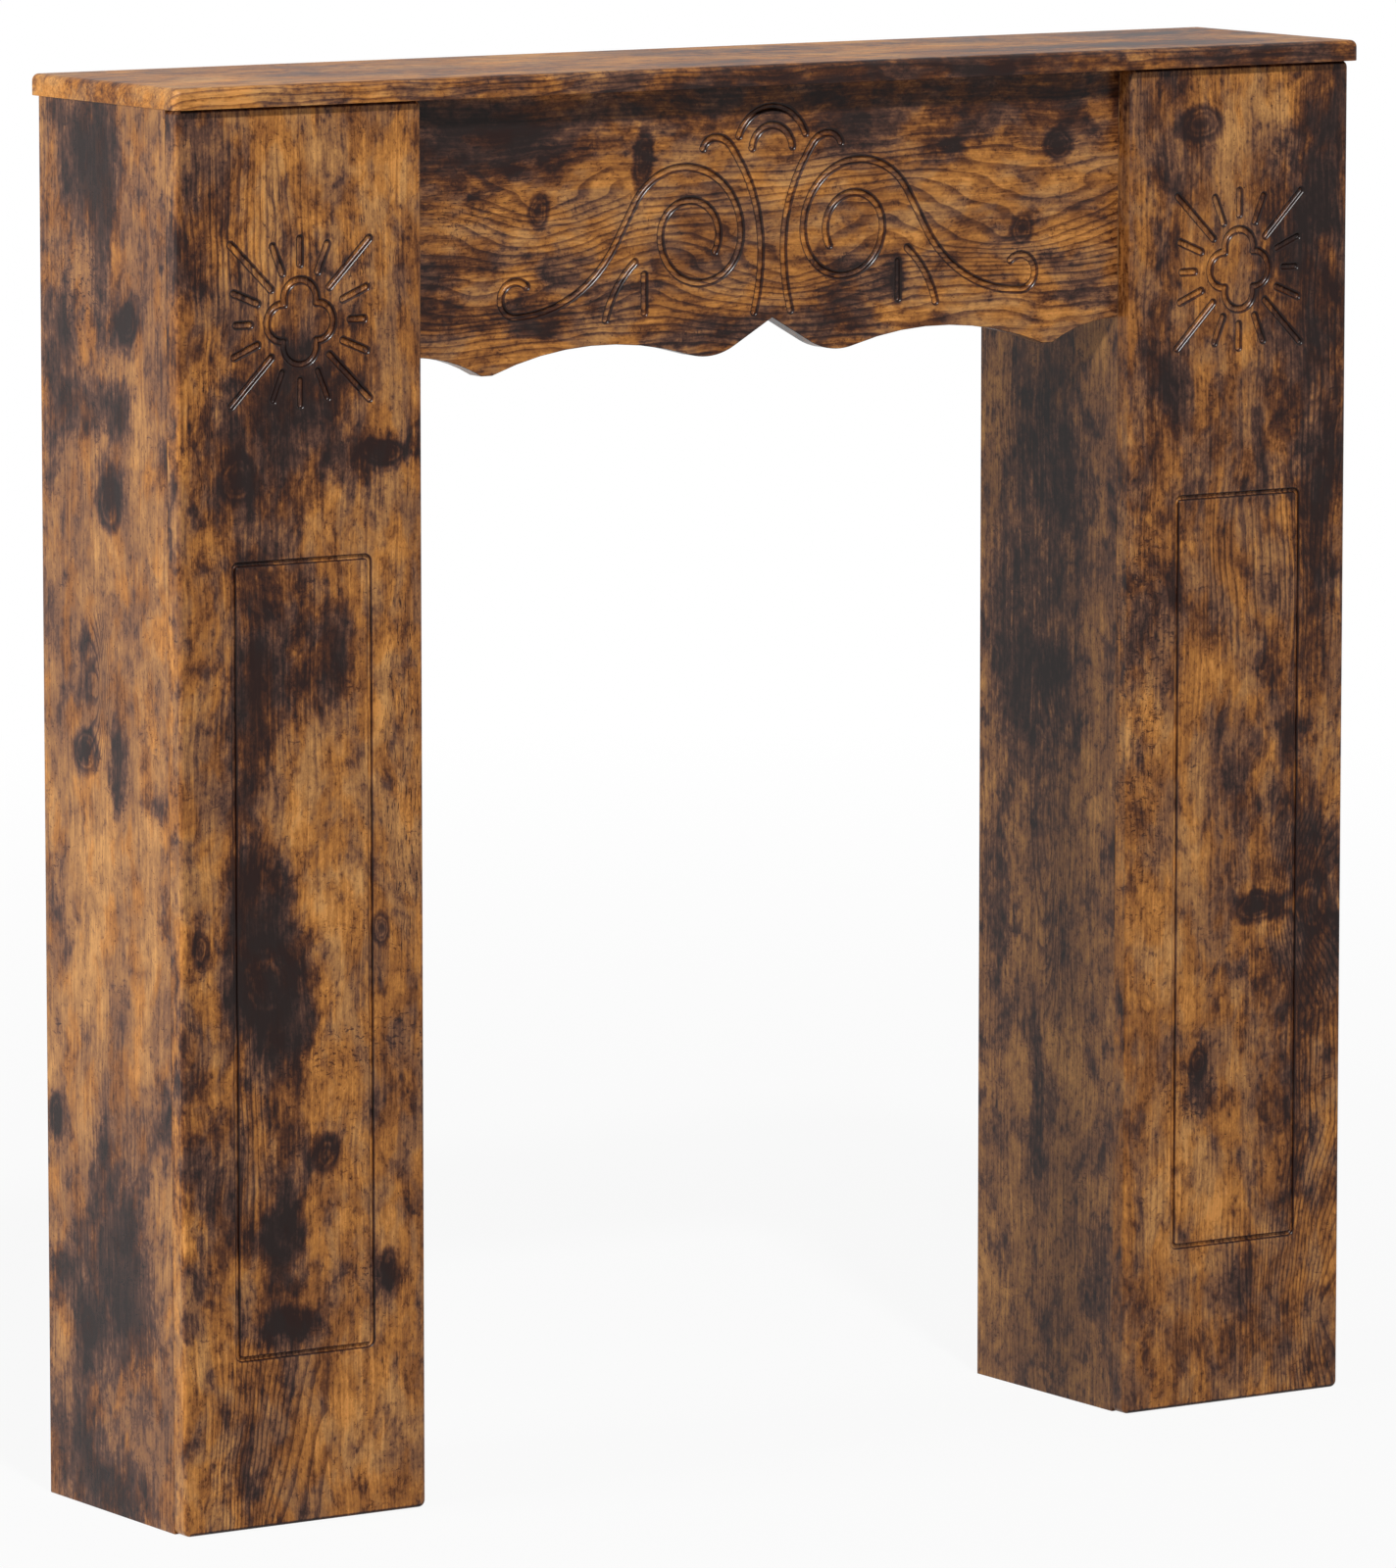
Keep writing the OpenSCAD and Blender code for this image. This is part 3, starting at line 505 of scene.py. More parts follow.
# Finishes. A board's print is laid out in millimetres: across the grain, along it and through the
# board, which axes names in this order. A spot is its middle across and along, its radii, and its
# strength. tone, grit, grey, line and dull are how dark, rough-marked, weathered, lined and matt a
# board is; ring is how far apart its growth lines are, wave the sizes and the strength of their
# wandering, and rings how many go round an arch. A board with axes only has a free print.
ORDINARY = dict(tone=0, grit=1, grey=0, line=0.26, dull=0.3, ring=5.5, wave=(60, 380, 9), rings=9)
BOARDS = {
    "left_front_board": dict(
        axes="XZY", tone=0.06,
        soot=(
            (-490, 885, 10, 18, 0.7), (-415, 745, 62, 34, 0.55), (-378, 760, 16, 26, 0.4),
            (-440, 700, 22, 30, 0.45), (-335, 745, 26, 9, 0.9), (-337, 712, 8, 22, 0.8),
            (-420, 640, 30, 40, 0.5), (-440, 600, 12, 60, 0.5), (-375, 605, 18, 26, 0.85),
            (-430, 575, 24, 24, 0.7), (-447, 500, 14, 60, 0.5), (-435, 440, 20, 24, 0.7),
            (-425, 375, 30, 38, 1), (-408, 352, 16, 14, 0.7), (-485, 415, 8, 18, 0.8),
            (-405, 330, 18, 16, 0.6), (-415, 250, 11, 60, 0.7), (-383, 262, 12, 12, 0.9),
            (-480, 255, 20, 25, 0.5), (-415, 190, 13, 25, 0.6), (-412, 142, 24, 13, 0.9),
            (-333, 168, 8, 18, 1), (-450, 45, 9, 22, 0.8), (-485, 320, 8, 10, 0.7),
            (-395, 795, 26, 18, 0.6), (-430, 205, 30, 12, 0.5), (-470, 900, 30, 60, 0.3),
            (-460, 760, 20, 20, 0.5), (-340, 820, 10, 30, 0.4), (-480, 195, 12, 30, 0.5),
            (-350, 120, 20, 8, 0.4), (-412, 805, 34, 60, 0.25), (-425, 410, 30, 46, 0.5)),
        bare=(
            (-330, 500, 28, 110, 0.6), (-370, 480, 36, 50, 0.5), (-375, 420, 10, 25, 0.5),
            (-345, 60, 55, 50, 0.5), (-470, 600, 14, 60, 0.3), (-418, 940, 10, 45, 0.4),
            (-325, 640, 18, 90, 0.6), (-375, 540, 12, 20, 0.4), (-330, 850, 22, 40, 0.4),
            (-345, 250, 26, 60, 0.4), (-475, 470, 12, 60, 0.4), (-380, 300, 10, 40, 0.4),
            (-428, 382, 14, 18, 0.8)),
        knots=(
            (-428, 382, 18, 24, 1), (-448, 731, 12, 13, 1), (-336, 409, 5, 9, 1), (-334, 743, 16, 7, 1),
            (-330, 172, 5, 12, 0.9), (-380, 257, 10, 12, 0.8), (-481, 410, 5, 11, 0.8),
            (-408, 145, 18, 10, 0.7)),
        arches=((-425, -20, 26, 95, 1),),
        figure=((-425, 60, 40, 60, 1), (-440, 270, 14, 60, 0.8), (-440, 900, 60, 60, 0.6)),
        cracks=((-318, 530, 14, 110, 1), (-470, 760, 12, 60, 0.7), (-350, 860, 16, 60, 0.7)),
        scuffs=((-380, 330, 40, 12, 1), (-325, 335, 18, 14, 1), (-350, 170, 30, 20, 0.5))),
    "right_front_board": dict(
        axes="XZY", tone=0.07, line=0.24,
        soot=(
            (475, 940, 20, 45, 0.6), (330, 900, 11, 20, 0.7), (330, 850, 9, 20, 0.7),
            (455, 800, 38, 60, 0.65), (325, 760, 20, 25, 0.8), (310, 685, 12, 25, 0.7),
            (470, 690, 28, 40, 0.6), (468, 600, 12, 50, 0.7), (320, 570, 18, 30, 0.6),
            (310, 490, 9, 40, 0.6), (375, 573, 9, 12, 0.7), (440, 515, 16, 45, 0.7),
            (448, 490, 7, 15, 0.9), (405, 470, 12, 20, 0.4), (470, 385, 30, 45, 0.6),
            (470, 310, 18, 30, 0.5), (415, 275, 7, 20, 0.4), (365, 250, 9, 12, 0.8),
            (375, 222, 17, 10, 1), (415, 165, 10, 20, 0.4), (400, 90, 10, 50, 0.4),
            (475, 25, 12, 15, 0.6), (345, 40, 6, 20, 0.4), (345, 650, 14, 60, 0.3),
            (400, 700, 30, 40, 0.3), (455, 200, 12, 60, 0.5), (455, 890, 36, 90, 0.5),
            (352, 940, 22, 40, 0.5), (418, 368, 13, 8, 0.9), (455, 340, 26, 60, 0.4),
            (345, 700, 24, 50, 0.3)),
        bare=(
            (394, 900, 8, 90, 0.7), (375, 130, 40, 40, 0.4),
            (390, 930, 18, 60, 0.5), (340, 400, 28, 120, 0.5), (350, 180, 38, 60, 0.5),
            (360, 810, 10, 40, 0.4), (390, 620, 20, 60, 0.3), (325, 545, 8, 30, 0.4),
            (466, 366, 15, 17, 0.9)),
        knots=(
            (362, 943, 15, 9, 1), (418, 368, 17, 10, 1), (466, 366, 16, 18, 1), (366, 254, 6, 9, 0.9)),
        arches=((466, 366, 26, 40, 1), (480, 60, 34, 70, 1)),
        figure=(
            (470, 640, 26, 80, 1), (475, 180, 22, 120, 1), (400, 620, 26, 50, 0.9),
            (430, 80, 40, 60, 0.7), (475, 850, 20, 60, 0.8)),
        cracks=((310, 620, 14, 60, 1), (312, 470, 14, 60, 0.8), (355, 240, 20, 30, 1)),
        scuffs=((320, 590, 20, 50, 1), (315, 460, 16, 60, 0.8), (360, 230, 24, 16, 0.8))),
    "left_outer_side": dict(
        axes="YZX", tone=0.05, grit=0.65, grey=0.15,
        soot=(
            (22.5, 945, 26, 34, 1.35), (77.5, 975, 10, 10, 0.94), (-17.5, 835, 16, 15, 1.08),
            (12.5, 880, 10, 40, 0.68), (72.5, 830, 22, 20, 0.68), (67.5, 770, 22, 30, 0.54),
            (17.5, 775, 30, 16, 0.81), (2.5, 715, 16, 18, 1.35), (-17.5, 770, 14, 15, 0.81),
            (87.5, 720, 9, 20, 0.94), (-72.5, 740, 8, 15, 0.94), (37.5, 610, 7, 12, 0.94),
            (-5.5, 515, 7, 28, 1.08), (-52.5, 505, 16, 8, 1.08), (-65.5, 430, 7, 14, 0.81),
            (82.5, 435, 9, 20, 0.81), (59.5, 390, 12, 20, 0.94), (82.5, 270, 11, 20, 0.81),
            (22.5, 260, 11, 25, 0.68), (-62.5, 290, 11, 25, 0.68), (-2.5, 200, 26, 36, 0.81),
            (37.5, 130, 14, 18, 1.08), (-32.5, 150, 22, 22, 0.94), (77.5, 160, 14, 15, 0.68),
            (47.5, 40, 36, 36, 0.68), (-12.5, 20, 26, 18, 0.94), (10, 175, 34, 50, 0.54),
            (-30, 110, 30, 40, 0.54), (55, 100, 26, 60, 0.41), (37.5, 533, 9, 9, 1.4),
            (-8, 535, 12, 26, 0.94)),
        bare=(
            (37.5, 480, 60, 50, 0.6), (-32.5, 620, 38, 100, 0.6), (47.5, 680, 38, 40, 0.5),
            (-2.5, 380, 60, 60, 0.6), (-42.5, 90, 30, 40, 0.3), (52.5, 330, 40, 60, 0.4)),
        knots=(
            (37.5, 533, 13, 13, 1), (-21, 835, 11, 11, 0.9), (4, 709, 13, 14, 0.9),
            (42, 129, 9, 11, 0.8), (85, 272, 7, 12, 0.8)),
        arches=((22, 578, 11, 32, 1),), rings=5,
        figure=((22, 585, 10, 28, 0.9),),
        cracks=((-52.5, 560, 16, 60, 0.6), (67.5, 900, 20, 60, 0.8)),
        scuffs=((37.5, 850, 40, 40, 0.6), (-22.5, 180, 30, 30, 0.5))),
    # The inner side's darker, greyer tone is partly print and partly painted shade, as it lies in shade.
    "right_inner_side": dict(
        axes="YZX", tone=0.12, grit=1.1, grey=0.85, line=0.2,
        soot=(
            (-12.5, 700, 50, 60, 0.7), (22.5, 560, 40, 80, 0.8), (77.5, 400, 18, 100, 0.5),
            (22.5, 210, 9, 50, 0.7), (77.5, 170, 11, 50, 0.5),
            (-60, 114, 10, 30, 0.9), (77, 257, 8, 40, 0.6), (-20, 330, 20, 40, 0.5)),
        bare=(
            (88, 222, 12, 60, 1.5), (-52.5, 520, 14, 100, 0.7), (-22.5, 260, 38, 80, 0.5),
            (80, 40, 20, 50, 1), (-52, 740, 18, 60, 0.7), (47, 130, 16, 60, 0.5), (85, 490, 12, 40, 0.6),
            (-62.5, 100, 12, 90, 0.4)),
        arches=((5.5, 430, 15, 75, 1),),
        figure=((5.5, 400, 16, 90, 1),)),
    "header_panel": dict(
        axes="ZXY", tone=0.04, grit=0.9, ring=7, wave=(46, 260, 6), rings=4, line=0.27,
        soot=(
            (975, -100, 16, 110, 0.4), (965, 150, 26, 170, 0.6), (950, -270, 24, 36, 0.8),
            (968, 250, 20, 60, 0.3), (955, -200, 22, 80, 0.4),
            (950, -220, 14, 28, 0.6), (935, -110, 17, 6, 1), (870, -225, 9, 42, 0.7),
            (850, -285, 14, 18, 0.8), (832, -190, 9, 50, 0.8), (818, -195, 7, 13, 0.8),
            (847, -120, 4, 23, 0.8), (873, -60, 8, 18, 0.6), (815, -55, 10, 36, 0.8),
            (858, 60, 7, 28, 0.8), (815, 50, 15, 42, 0.9), (845, 105, 10, 8, 0.8),
            (850, 245, 6, 14, 0.8), (825, 250, 8, 38, 0.7), (935, 150, 8, 14, 0.5),
            (945, 60, 14, 14, 0.6), (905, -285, 12, 14, 0.4), (880, 150, 5, 60, 0.5),
            (905, -192, 7, 8, 0.9), (872, 217, 7, 7, 0.8), (935, 245, 6, 7, 0.6)),
        bare=(
            (900, -40, 26, 110, 0.8), (912, -280, 10, 16, 0.4), (960, 278, 6, 8, 1),
            (885, 110, 22, 110, 0.5), (890, -240, 20, 60, 0.4),
            (840, -40, 11, 56, 0.5), (905, 200, 14, 84, 0.4), (815, 160, 14, 50, 0.5)),
        knots=(
            (903, -193, 10, 7, 1), (872, 216, 9, 8, 1), (934, 247, 9, 9, 1), (936, -110, 17, 7, 0.9),
            (935, 152, 5, 8, 0.7), (840, 108, 15, 5, 0.7)),
        arches=(
            (872, 215, 30, 60, 1), (903, -190, 26, 40, 1), (850, -245, 24, 70, 1), (846, 15, 26, 56, 1)),
        figure=((850, 0, 50, 320, 1), (905, 150, 30, 120, 0.8)),
        cracks=((920, -250, 30, 50, 0.8),),
        scuffs=((900, -260, 40, 30, 0.5),)),
    # The shelf's lighter tone is partly print and partly painted light, for the light falling on its
    # top.
    "mantel_shelf": dict(
        axes="YXZ", tone=-0.04, dull=0.52, grit=0.7,
        soot=(
            (-20, -250, 30, 90, 0.8), (20, 60, 36, 120, 0.7), (-50, 300, 26, 90, 0.9),
            (40, 420, 30, 60, 0.8), (-104, -150, 8, 190, 0.7), (-104, 180, 8, 170, 1.1),
            (-104, 430, 8, 60, 0.9), (-104, -420, 7, 90, 0.3), (-60, -60, 20, 70, 0.6),
            (60, 230, 24, 60, 0.6)),
        bare=((0, -100, 40, 120, 0.6), (10, 170, 30, 60, 0.6), (-60, -400, 40, 60, 0.5)),
        figure=((0, 0, 100, 500, 0.5), (-104, -350, 9, 200, 1), (-104, 100, 9, 300, 0.7))),
    "back_rail": dict(axes="ZXY"),
    "left_inner_side": dict(axes="YZX"),
    "right_outer_side": dict(axes="YZX"),
    "left_top_rail": dict(axes="ZXY"),
    "left_bottom_rail": dict(axes="ZXY"),
    "right_top_rail": dict(axes="ZXY"),
    "right_bottom_rail": dict(axes="ZXY"),
}

# Colours of the print, from bare honey-coloured wood to its scorched parts.
WARM = (
    (0, "d8954f"), (0.16, "b97b3c"), (0.34, "8f5a2d"), (0.52, "683e22"), (0.7, "482819"),
    (0.86, "341d14"), (1, "281511"))
# The same print where it is weathered and greyer.
WEATHERED = (
    (0, "cd9659"), (0.16, "ae7c4b"), (0.34, "845a3c"), (0.52, "5e4033"), (0.7, "422c25"),
    (0.86, "30221f"), (1, "261b19"))
# How far down these colours plain wood is.
PLAIN_DEPTH = 0.31
# How dark a knot is, from outside it over its rim and rings to its heart.
KNOT = (
    (0, "000000"), (0.22, "000000"), (0.46, "e6e6e6"), (0.55, "808080"), (0.64, "c8c8c8"),
    (0.72, "909090"), (0.82, "e0e0e0"), (1, "ffffff"))
SMOOTH = {"interpolation_type": "SMOOTHSTEP"}

# Each pattern is taken from its own place in the noise. A spot goes all through a board.
SEED_STEPS = (7.31, 3.17, 1.73)
SEEDS_PER_BOARD = 20
ALL_THROUGH = 1e5

# Painted shade: the foil is painted dark from just below a board's face, in mm, and down the walls
# of its routed lines, but not on their bottoms. The walls' shares are of the lines' depth.
GROOVE_SHADE_FROM = 0.2
WALL_FROM, WALL_END = 0.4, 0.8


def clouds(tree, place, size, seed, detail=4, roughness=0.6, out=0):
    """A cloudy pattern from 0 to 1, whose clouds have the given size in millimetres."""
    scaled = add(tree, "Mapping", {
        "Vector": place, "Location": [seed * step for step in SEED_STEPS],
        "Scale": [1 / length for length in size]})
    return add(tree, "TexNoise", {
        "Vector": scaled, "Scale": 1, "Detail": detail, "Roughness": roughness}, out)


def spots(tree, place, table):
    """The sum of soft spots, each of which falls from its strength to half at its radii."""
    total = 0
    for across, along, radius_across, radius_along, strength in table:
        placed = add(tree, "Mapping", {
            "Vector": place, "Location": (across, along, 0),
            "Scale": (2 * radius_across, 2 * radius_along, ALL_THROUGH)}, vector_type="TEXTURE")
        ball = add(tree, "TexGradient", {"Vector": placed}, 1, gradient_type="SPHERICAL")
        total = add(tree, "Math", {0: ball, 1: strength, 2: total}, operation="MULTIPLY_ADD")
    return total


def mixed(tree, start, layers):
    """start plus each cloudy pattern's swing about its mean, times a weight."""
    total = start
    for pattern, weight in layers:
        total = add(tree, "Math", {0: pattern, 1: weight, 2: total}, operation="MULTIPLY_ADD")
    return add(tree, "Math", {0: total, 1: sum(w for _, w in layers) / 2}, operation="SUBTRACT")


def coloured(tree, value, stops):
    """The colours of stops, read at value."""
    colour = add(tree, "ValToRGB", {0: value})
    elements = colour.node.color_ramp.elements
    for at, _ in stops[1:-1]:
        elements.new(at)
    for element, (at, code) in zip(elements, stops):
        element.position = at
        element.color = srgb(code)
    return colour


def clustered(tree, marks, cloudy, table, place):
    """marks, kept only where a cloudy pattern is high and at the spots of table."""
    here = add(tree, "MapRange", {0: cloudy, 1: 0.54, 2: 0.66, 4: 0.7}, **SMOOTH)
    if table:
        at_spots = add(tree, "MapRange", {0: spots(tree, place, table), 1: 0.2, 2: 0.5}, **SMOOTH)
        here = add(tree, "Math", {0: here, 1: at_spots}, operation="MAXIMUM")
    return add(tree, "Math", {0: marks, 1: here}, operation="MULTIPLY")


def growth_lines(tree, board, pattern, place, grain, loose, soft):
    """Thin dark lines along the grain, which wander and show in places. Round the board's arches
    they close into rings."""
    across, along, strength = board["wave"]
    flow = pattern(place, (across, along, across), 2, 0.5)
    edge_on = add(tree, "SeparateXYZ", {0: grain}).node.outputs
    phase = add(tree, "Math", {0: edge_on[0], 1: edge_on[2]}, operation="ADD")
    phase = add(tree, "Math", {0: phase, 1: 1 / board["ring"]}, operation="MULTIPLY")
    phase = add(tree, "Math", {0: flow, 1: strength, 2: phase}, operation="MULTIPLY_ADD")
    shown = add(tree, "MapRange", {
        0: pattern(loose, (40, 90, 40), 2, 0.5), 1: 0.45, 2: 0.65, 4: 0.35}, **SMOOTH)
    if "arches" in board:
        arches = spots(tree, soft, board["arches"])
        phase = add(tree, "Math", {0: arches, 1: board["rings"], 2: phase}, operation="MULTIPLY_ADD")
        inside = add(tree, "MapRange", {0: arches, 1: 0, 2: 0.25}, **SMOOTH)
        shown = add(tree, "Math", {0: shown, 1: inside}, operation="MAXIMUM")
    if "figure" in board:
        figure = add(tree, "MapRange", {
            0: spots(tree, soft, board["figure"]), 1: 0.1, 2: 0.5}, **SMOOTH)
        shown = add(tree, "Math", {0: shown, 1: figure}, operation="MAXIMUM")
    # Late wood darkens towards the end of a year and stops at once.
    saw = add(tree, "Math", {0: phase}, operation="FRACT")
    darkening = add(tree, "MapRange", {0: saw, 1: 0.45, 2: 0.9}, **SMOOTH)
    ending = add(tree, "MapRange", {0: saw, 1: 1, 2: 0.93}, **SMOOTH)
    lines = add(tree, "Math", {0: darkening, 1: ending}, operation="MULTIPLY")
    return add(tree, "Math", {0: lines, 1: shown}, operation="MULTIPLY")


def painted_groove_shade(tree, parts, box):
    """Painted shade: 1 where a board's face bends into its routed lines, and 0 on its face and its ends.
    """
    low, high = box
    bend = add(tree, "MapRange", {
        0: parts[1], 1: low.y * MM, 2: (low.y + GROOVE_SHADE_FROM) * MM}, **SMOOTH)
    bottom = add(tree, "MapRange", {
        0: parts[1], 1: (low.y + WALL_END * LINE_DEPTH) * MM,
        2: (low.y + WALL_FROM * LINE_DEPTH) * MM}, **SMOOTH)
    clear_of_ends = add(tree, "Math", {
        0: parts[0], 1: (low.x + high.x) / 2 * MM, 2: ((high.x - low.x) / 2 - FRONT_EASE - 1) * MM},
        operation="COMPARE")
    walls = add(tree, "Math", {0: bend, 1: bottom}, operation="MULTIPLY")
    return add(tree, "Math", {0: walls, 1: clear_of_ends}, operation="MULTIPLY")


def started(name):
    """A new material, its node tree and its shader."""
    material = bpy.data.materials.new(name)
    material.use_nodes = True
    return material, material.node_tree, material.node_tree.nodes["Principled BSDF"]


def rustic_print(name, routed=None):
    """Fibreboard in a satin foil with a print of old, scorched softwood. The eye gets honey-brown
    wood with dark drifts along the grain, fine streaks, growth lines, knots, cracks and scuffs.
    routed is the box of a board with routed lines, whose walls get painted shade.
    A pattern's sizes are its marks' real sizes in millimetres, across, along and through."""
    board = {**ORDINARY, **BOARDS[name]}
    grit = board["grit"]
    material, tree, foil = started("rustic_foil_" + name)
    parts = add(tree, "SeparateXYZ", {0: add(tree, "TexCoord", out=3)}).node.outputs
    place = add(tree, "CombineXYZ", {i: parts[axis] for i, axis in enumerate(board["axes"])})
    place = add(tree, "Mapping", {"Vector": place, "Scale": TO_MM})
    seeds = itertools.count(SEEDS_PER_BOARD * list(BOARDS).index(name))

    def pattern(at, size, detail=4, roughness=0.6, out=0):
        return clouds(tree, at, size, next(seeds), detail, roughness, out)

    def pushed(start, push, reach):
        centred = add(tree, "VectorMath", {0: push, 1: (0.5,) * 3}, operation="SUBTRACT")
        return add(tree, "VectorMath", {0: centred, 1: reach, 2: start}, operation="MULTIPLY_ADD")

    # The print wanders slowly, and its marks have ragged outlines.
    wander = pattern(place, (60, 110, 60), 3, 0.5, 1)
    ragged = pattern(place, (9, 18, 9), 4, 0.65, 1)
    grain = pushed(place, wander, (14, 0, 0))
    loose = pushed(place, wander, (26, 60, 0))
    soft = pushed(place, wander, (10, 18, 0))
    close = pushed(soft, ragged, (4, 5, 0))
    torn = pushed(soft, ragged, (16, 34, 0))

    drifts = pattern(loose, (45, 90, 45), 5, 0.65)
    patches = pattern(loose, (14, 24, 14), 5, 0.62)
    mottle = pattern(grain, (4, 7, 4), 4, 0.65)
    streaks = pattern(grain, (2.2, 60, 2.2), 3)
    dabs = pattern(grain, (1.5, 3, 1.5), 2, 0.6)

    # Soot lies in drifts that fray along the grain.
    if "soot" in board:
        soot = spots(tree, torn, board["soot"])
        bare = spots(tree, torn, board["bare"])
        soot = add(tree, "Math", {0: soot, 1: bare}, operation="SUBTRACT")
    else:
        soot = add(tree, "MapRange", {
            0: pattern(torn, (34, 70, 34), 3), 1: 0.4, 2: 0.68, 3: -0.4, 4: 0.8})
    frayed = mixed(tree, soot, ((drifts, 0.8), (patches, 1.3), (mottle, 0.8), (streaks, 0.6)))
    frayed = add(tree, "MapRange", {0: frayed, 1: -0.1, 2: 1.1}, **SMOOTH)
    smudges = add(tree, "MapRange", {0: patches, 1: 0.54, 2: 0.72}, **SMOOTH)
    flecks = add(tree, "MapRange", {0: mottle, 1: 0.56, 2: 0.7}, **SMOOTH)
    veil = add(tree, "MapRange", {0: soot, 1: -0.5, 2: 0.8, 3: -0.14, 4: 0.08})

    lines = growth_lines(tree, board, pattern, place, grain, loose, soft)

    # Cracks are short dashes along the grain, scuffs lie across it, and specks are worm holes.
    cracks = add(tree, "MapRange", {
        0: pattern(close, (0.8, 9, 0.8), 2, 0.5), 1: 0.6, 2: 0.66}, **SMOOTH)
    cracks = clustered(tree, cracks, pattern(loose, (14, 40, 14), 3), board.get("cracks"), torn)
    scuffs = add(tree, "MapRange", {
        0: pattern(close, (5, 2.2, 5), 4, 0.65), 1: 0.56, 2: 0.62}, **SMOOTH)
    scuffs = clustered(tree, scuffs, pattern(loose, (22, 18, 22), 3), board.get("scuffs"), torn)
    specks = add(tree, "MapRange", {
        0: pattern(place, (1.5, 2, 1.5), 1, 0.5), 1: 0.7, 2: 0.78}, **SMOOTH)

    # depth runs from 0, the lightest wood, to 1, the darkest soot. Each mark darkens by its weight.
    depth = mixed(tree, veil, (
        (drifts, 1.05), (patches, 0.65 * grit), (mottle, 0.35 * grit), (streaks, 0.65 * grit),
        (dabs, 0.3 * grit)))
    marks = [
        (frayed, 0.4), (smudges, 0.2 * grit), (flecks, 0.16 * grit), (lines, board["line"]),
        (cracks, 0.4), (scuffs, 0.3), (specks, 0.35)]
    if "knots" in board:
        marks.append((coloured(tree, spots(tree, close, board["knots"]), KNOT), 0.56))
    # Painted shade darkens the walls of the routed lines.
    if routed:
        marks.append((painted_groove_shade(tree, parts, routed), 0.45))
    depth = add(tree, "Math", {0: depth, 1: PLAIN_DEPTH + board["tone"]}, operation="ADD")
    for mark, weight in marks:
        depth = add(tree, "Math", {0: mark, 1: weight, 2: depth}, operation="MULTIPLY_ADD")
    greyer = board["grey"] / 2
    weathering = add(tree, "MapRange", {
        0: pattern(loose, (22, 50, 22), 3), 1: 0.42 - greyer, 2: 0.6 - greyer}, **SMOOTH)
    colour = add(tree, "Mix", {
        0: weathering, 6: coloured(tree, depth, WARM), 7: coloured(tree, depth, WEATHERED)}, 2,
        data_type="RGBA")
    fibres = add(tree, "MapRange", {
        0: pattern(grain, (0.8, 30, 0.8), 3), 1: 0.3, 2: 0.7, 3: 0.88, 4: 1.09})
    colour = add(tree, "Mix", {0: 1, 6: colour, 7: fibres}, 2, data_type="RGBA", blend_type="MULTIPLY")

    foil.inputs["Specular IOR Level"].default_value = 0.15
    gloss = add(tree, "MapRange", {0: depth, 1: 0, 2: 1, 3: board["dull"], 4: board["dull"] - 0.06})
    relief = add(tree, "Bump", {
        "Height": add(tree, "Math", {0: depth, 1: -1}, operation="MULTIPLY"), "Strength": 0.15,
        "Distance": 0.15 * MM})
    tree.links.new(colour, foil.inputs["Base Color"])
    tree.links.new(gloss, foil.inputs["Roughness"])
    tree.links.new(relief, foil.inputs["Normal"])
    return material


def in_mm(tree):
    """A piece's own coordinates in millimetres."""
    return add(tree, "Mapping", {"Vector": add(tree, "TexCoord", out=3), "Scale": TO_MM})


def cast_zinc():
    """Bare die-cast zinc, as cam locks are: a dull blue-grey metal with a fine, cloudy skin."""
    material, tree, metal = started("die_cast_zinc")
    place = in_mm(tree)
    metal.inputs["Metallic"].default_value = 1
    skin = clouds(tree, place, (1.2, 1.2, 1.2), 3)
    tone = coloured(tree, skin, ((0.3, "83878c"), (0.5, "999da2"), (0.7, "aaaeb3")))
    tree.links.new(tone, metal.inputs["Base Color"])
    dull = add(tree, "MapRange", {0: skin, 1: 0.3, 2: 0.7, 3: 0.42, 4: 0.6})
    tree.links.new(dull, metal.inputs["Roughness"])
    relief = add(tree, "Bump", {"Height": skin, "Strength": 0.3, "Distance": 0.05 * MM})
    tree.links.new(relief, metal.inputs["Normal"])
    return material


def plated_steel():
    """Zinc-plated steel, as cam bolts are: bright, with faint turning marks 0.3 mm apart."""
    material, tree, metal = started("zinc_plated_steel")
    place = in_mm(tree)
    metal.inputs["Metallic"].default_value = 1
    turning = clouds(tree, place, (0.3, 3, 0.3), 5)
    tone = coloured(tree, turning, ((0.3, "a9acae"), (0.5, "bdbfc0"), (0.7, "cfd0cf")))
    tree.links.new(tone, metal.inputs["Base Color"])
    gloss = add(tree, "MapRange", {0: turning, 1: 0.3, 2: 0.7, 3: 0.22, 4: 0.4})
    tree.links.new(gloss, metal.inputs["Roughness"])
    return material


def beech():
    """Plain turned beech, as dowels are: pale pinkish wood with dark flecks 2 mm long."""
    material, tree, wood = started("turned_beech")
    place = in_mm(tree)
    wood.inputs["Roughness"].default_value = 0.6
    grain = clouds(tree, place, (0.5, 2, 0.5), 7)
    tone = coloured(tree, grain, ((0.3, "b98a62"), (0.5, "d0a67c"), (0.7, "dbb68e")))
    tree.links.new(tone, wood.inputs["Base Color"])
    relief = add(tree, "Bump", {"Height": grain, "Strength": 0.3, "Distance": 0.05 * MM})
    tree.links.new(relief, wood.inputs["Normal"])
    return material


def looking(tree):
    """1 for rays that see the background: from the camera, off gloss or through glass."""
    rays = add(tree, "LightPath").node.outputs
    seen = rays["Is Camera Ray"]
    for kind in ("Is Glossy Ray", "Is Transmission Ray"):
        seen = add(tree, "Math", {0: seen, 1: rays[kind]}, operation="MAXIMUM")
    return seen


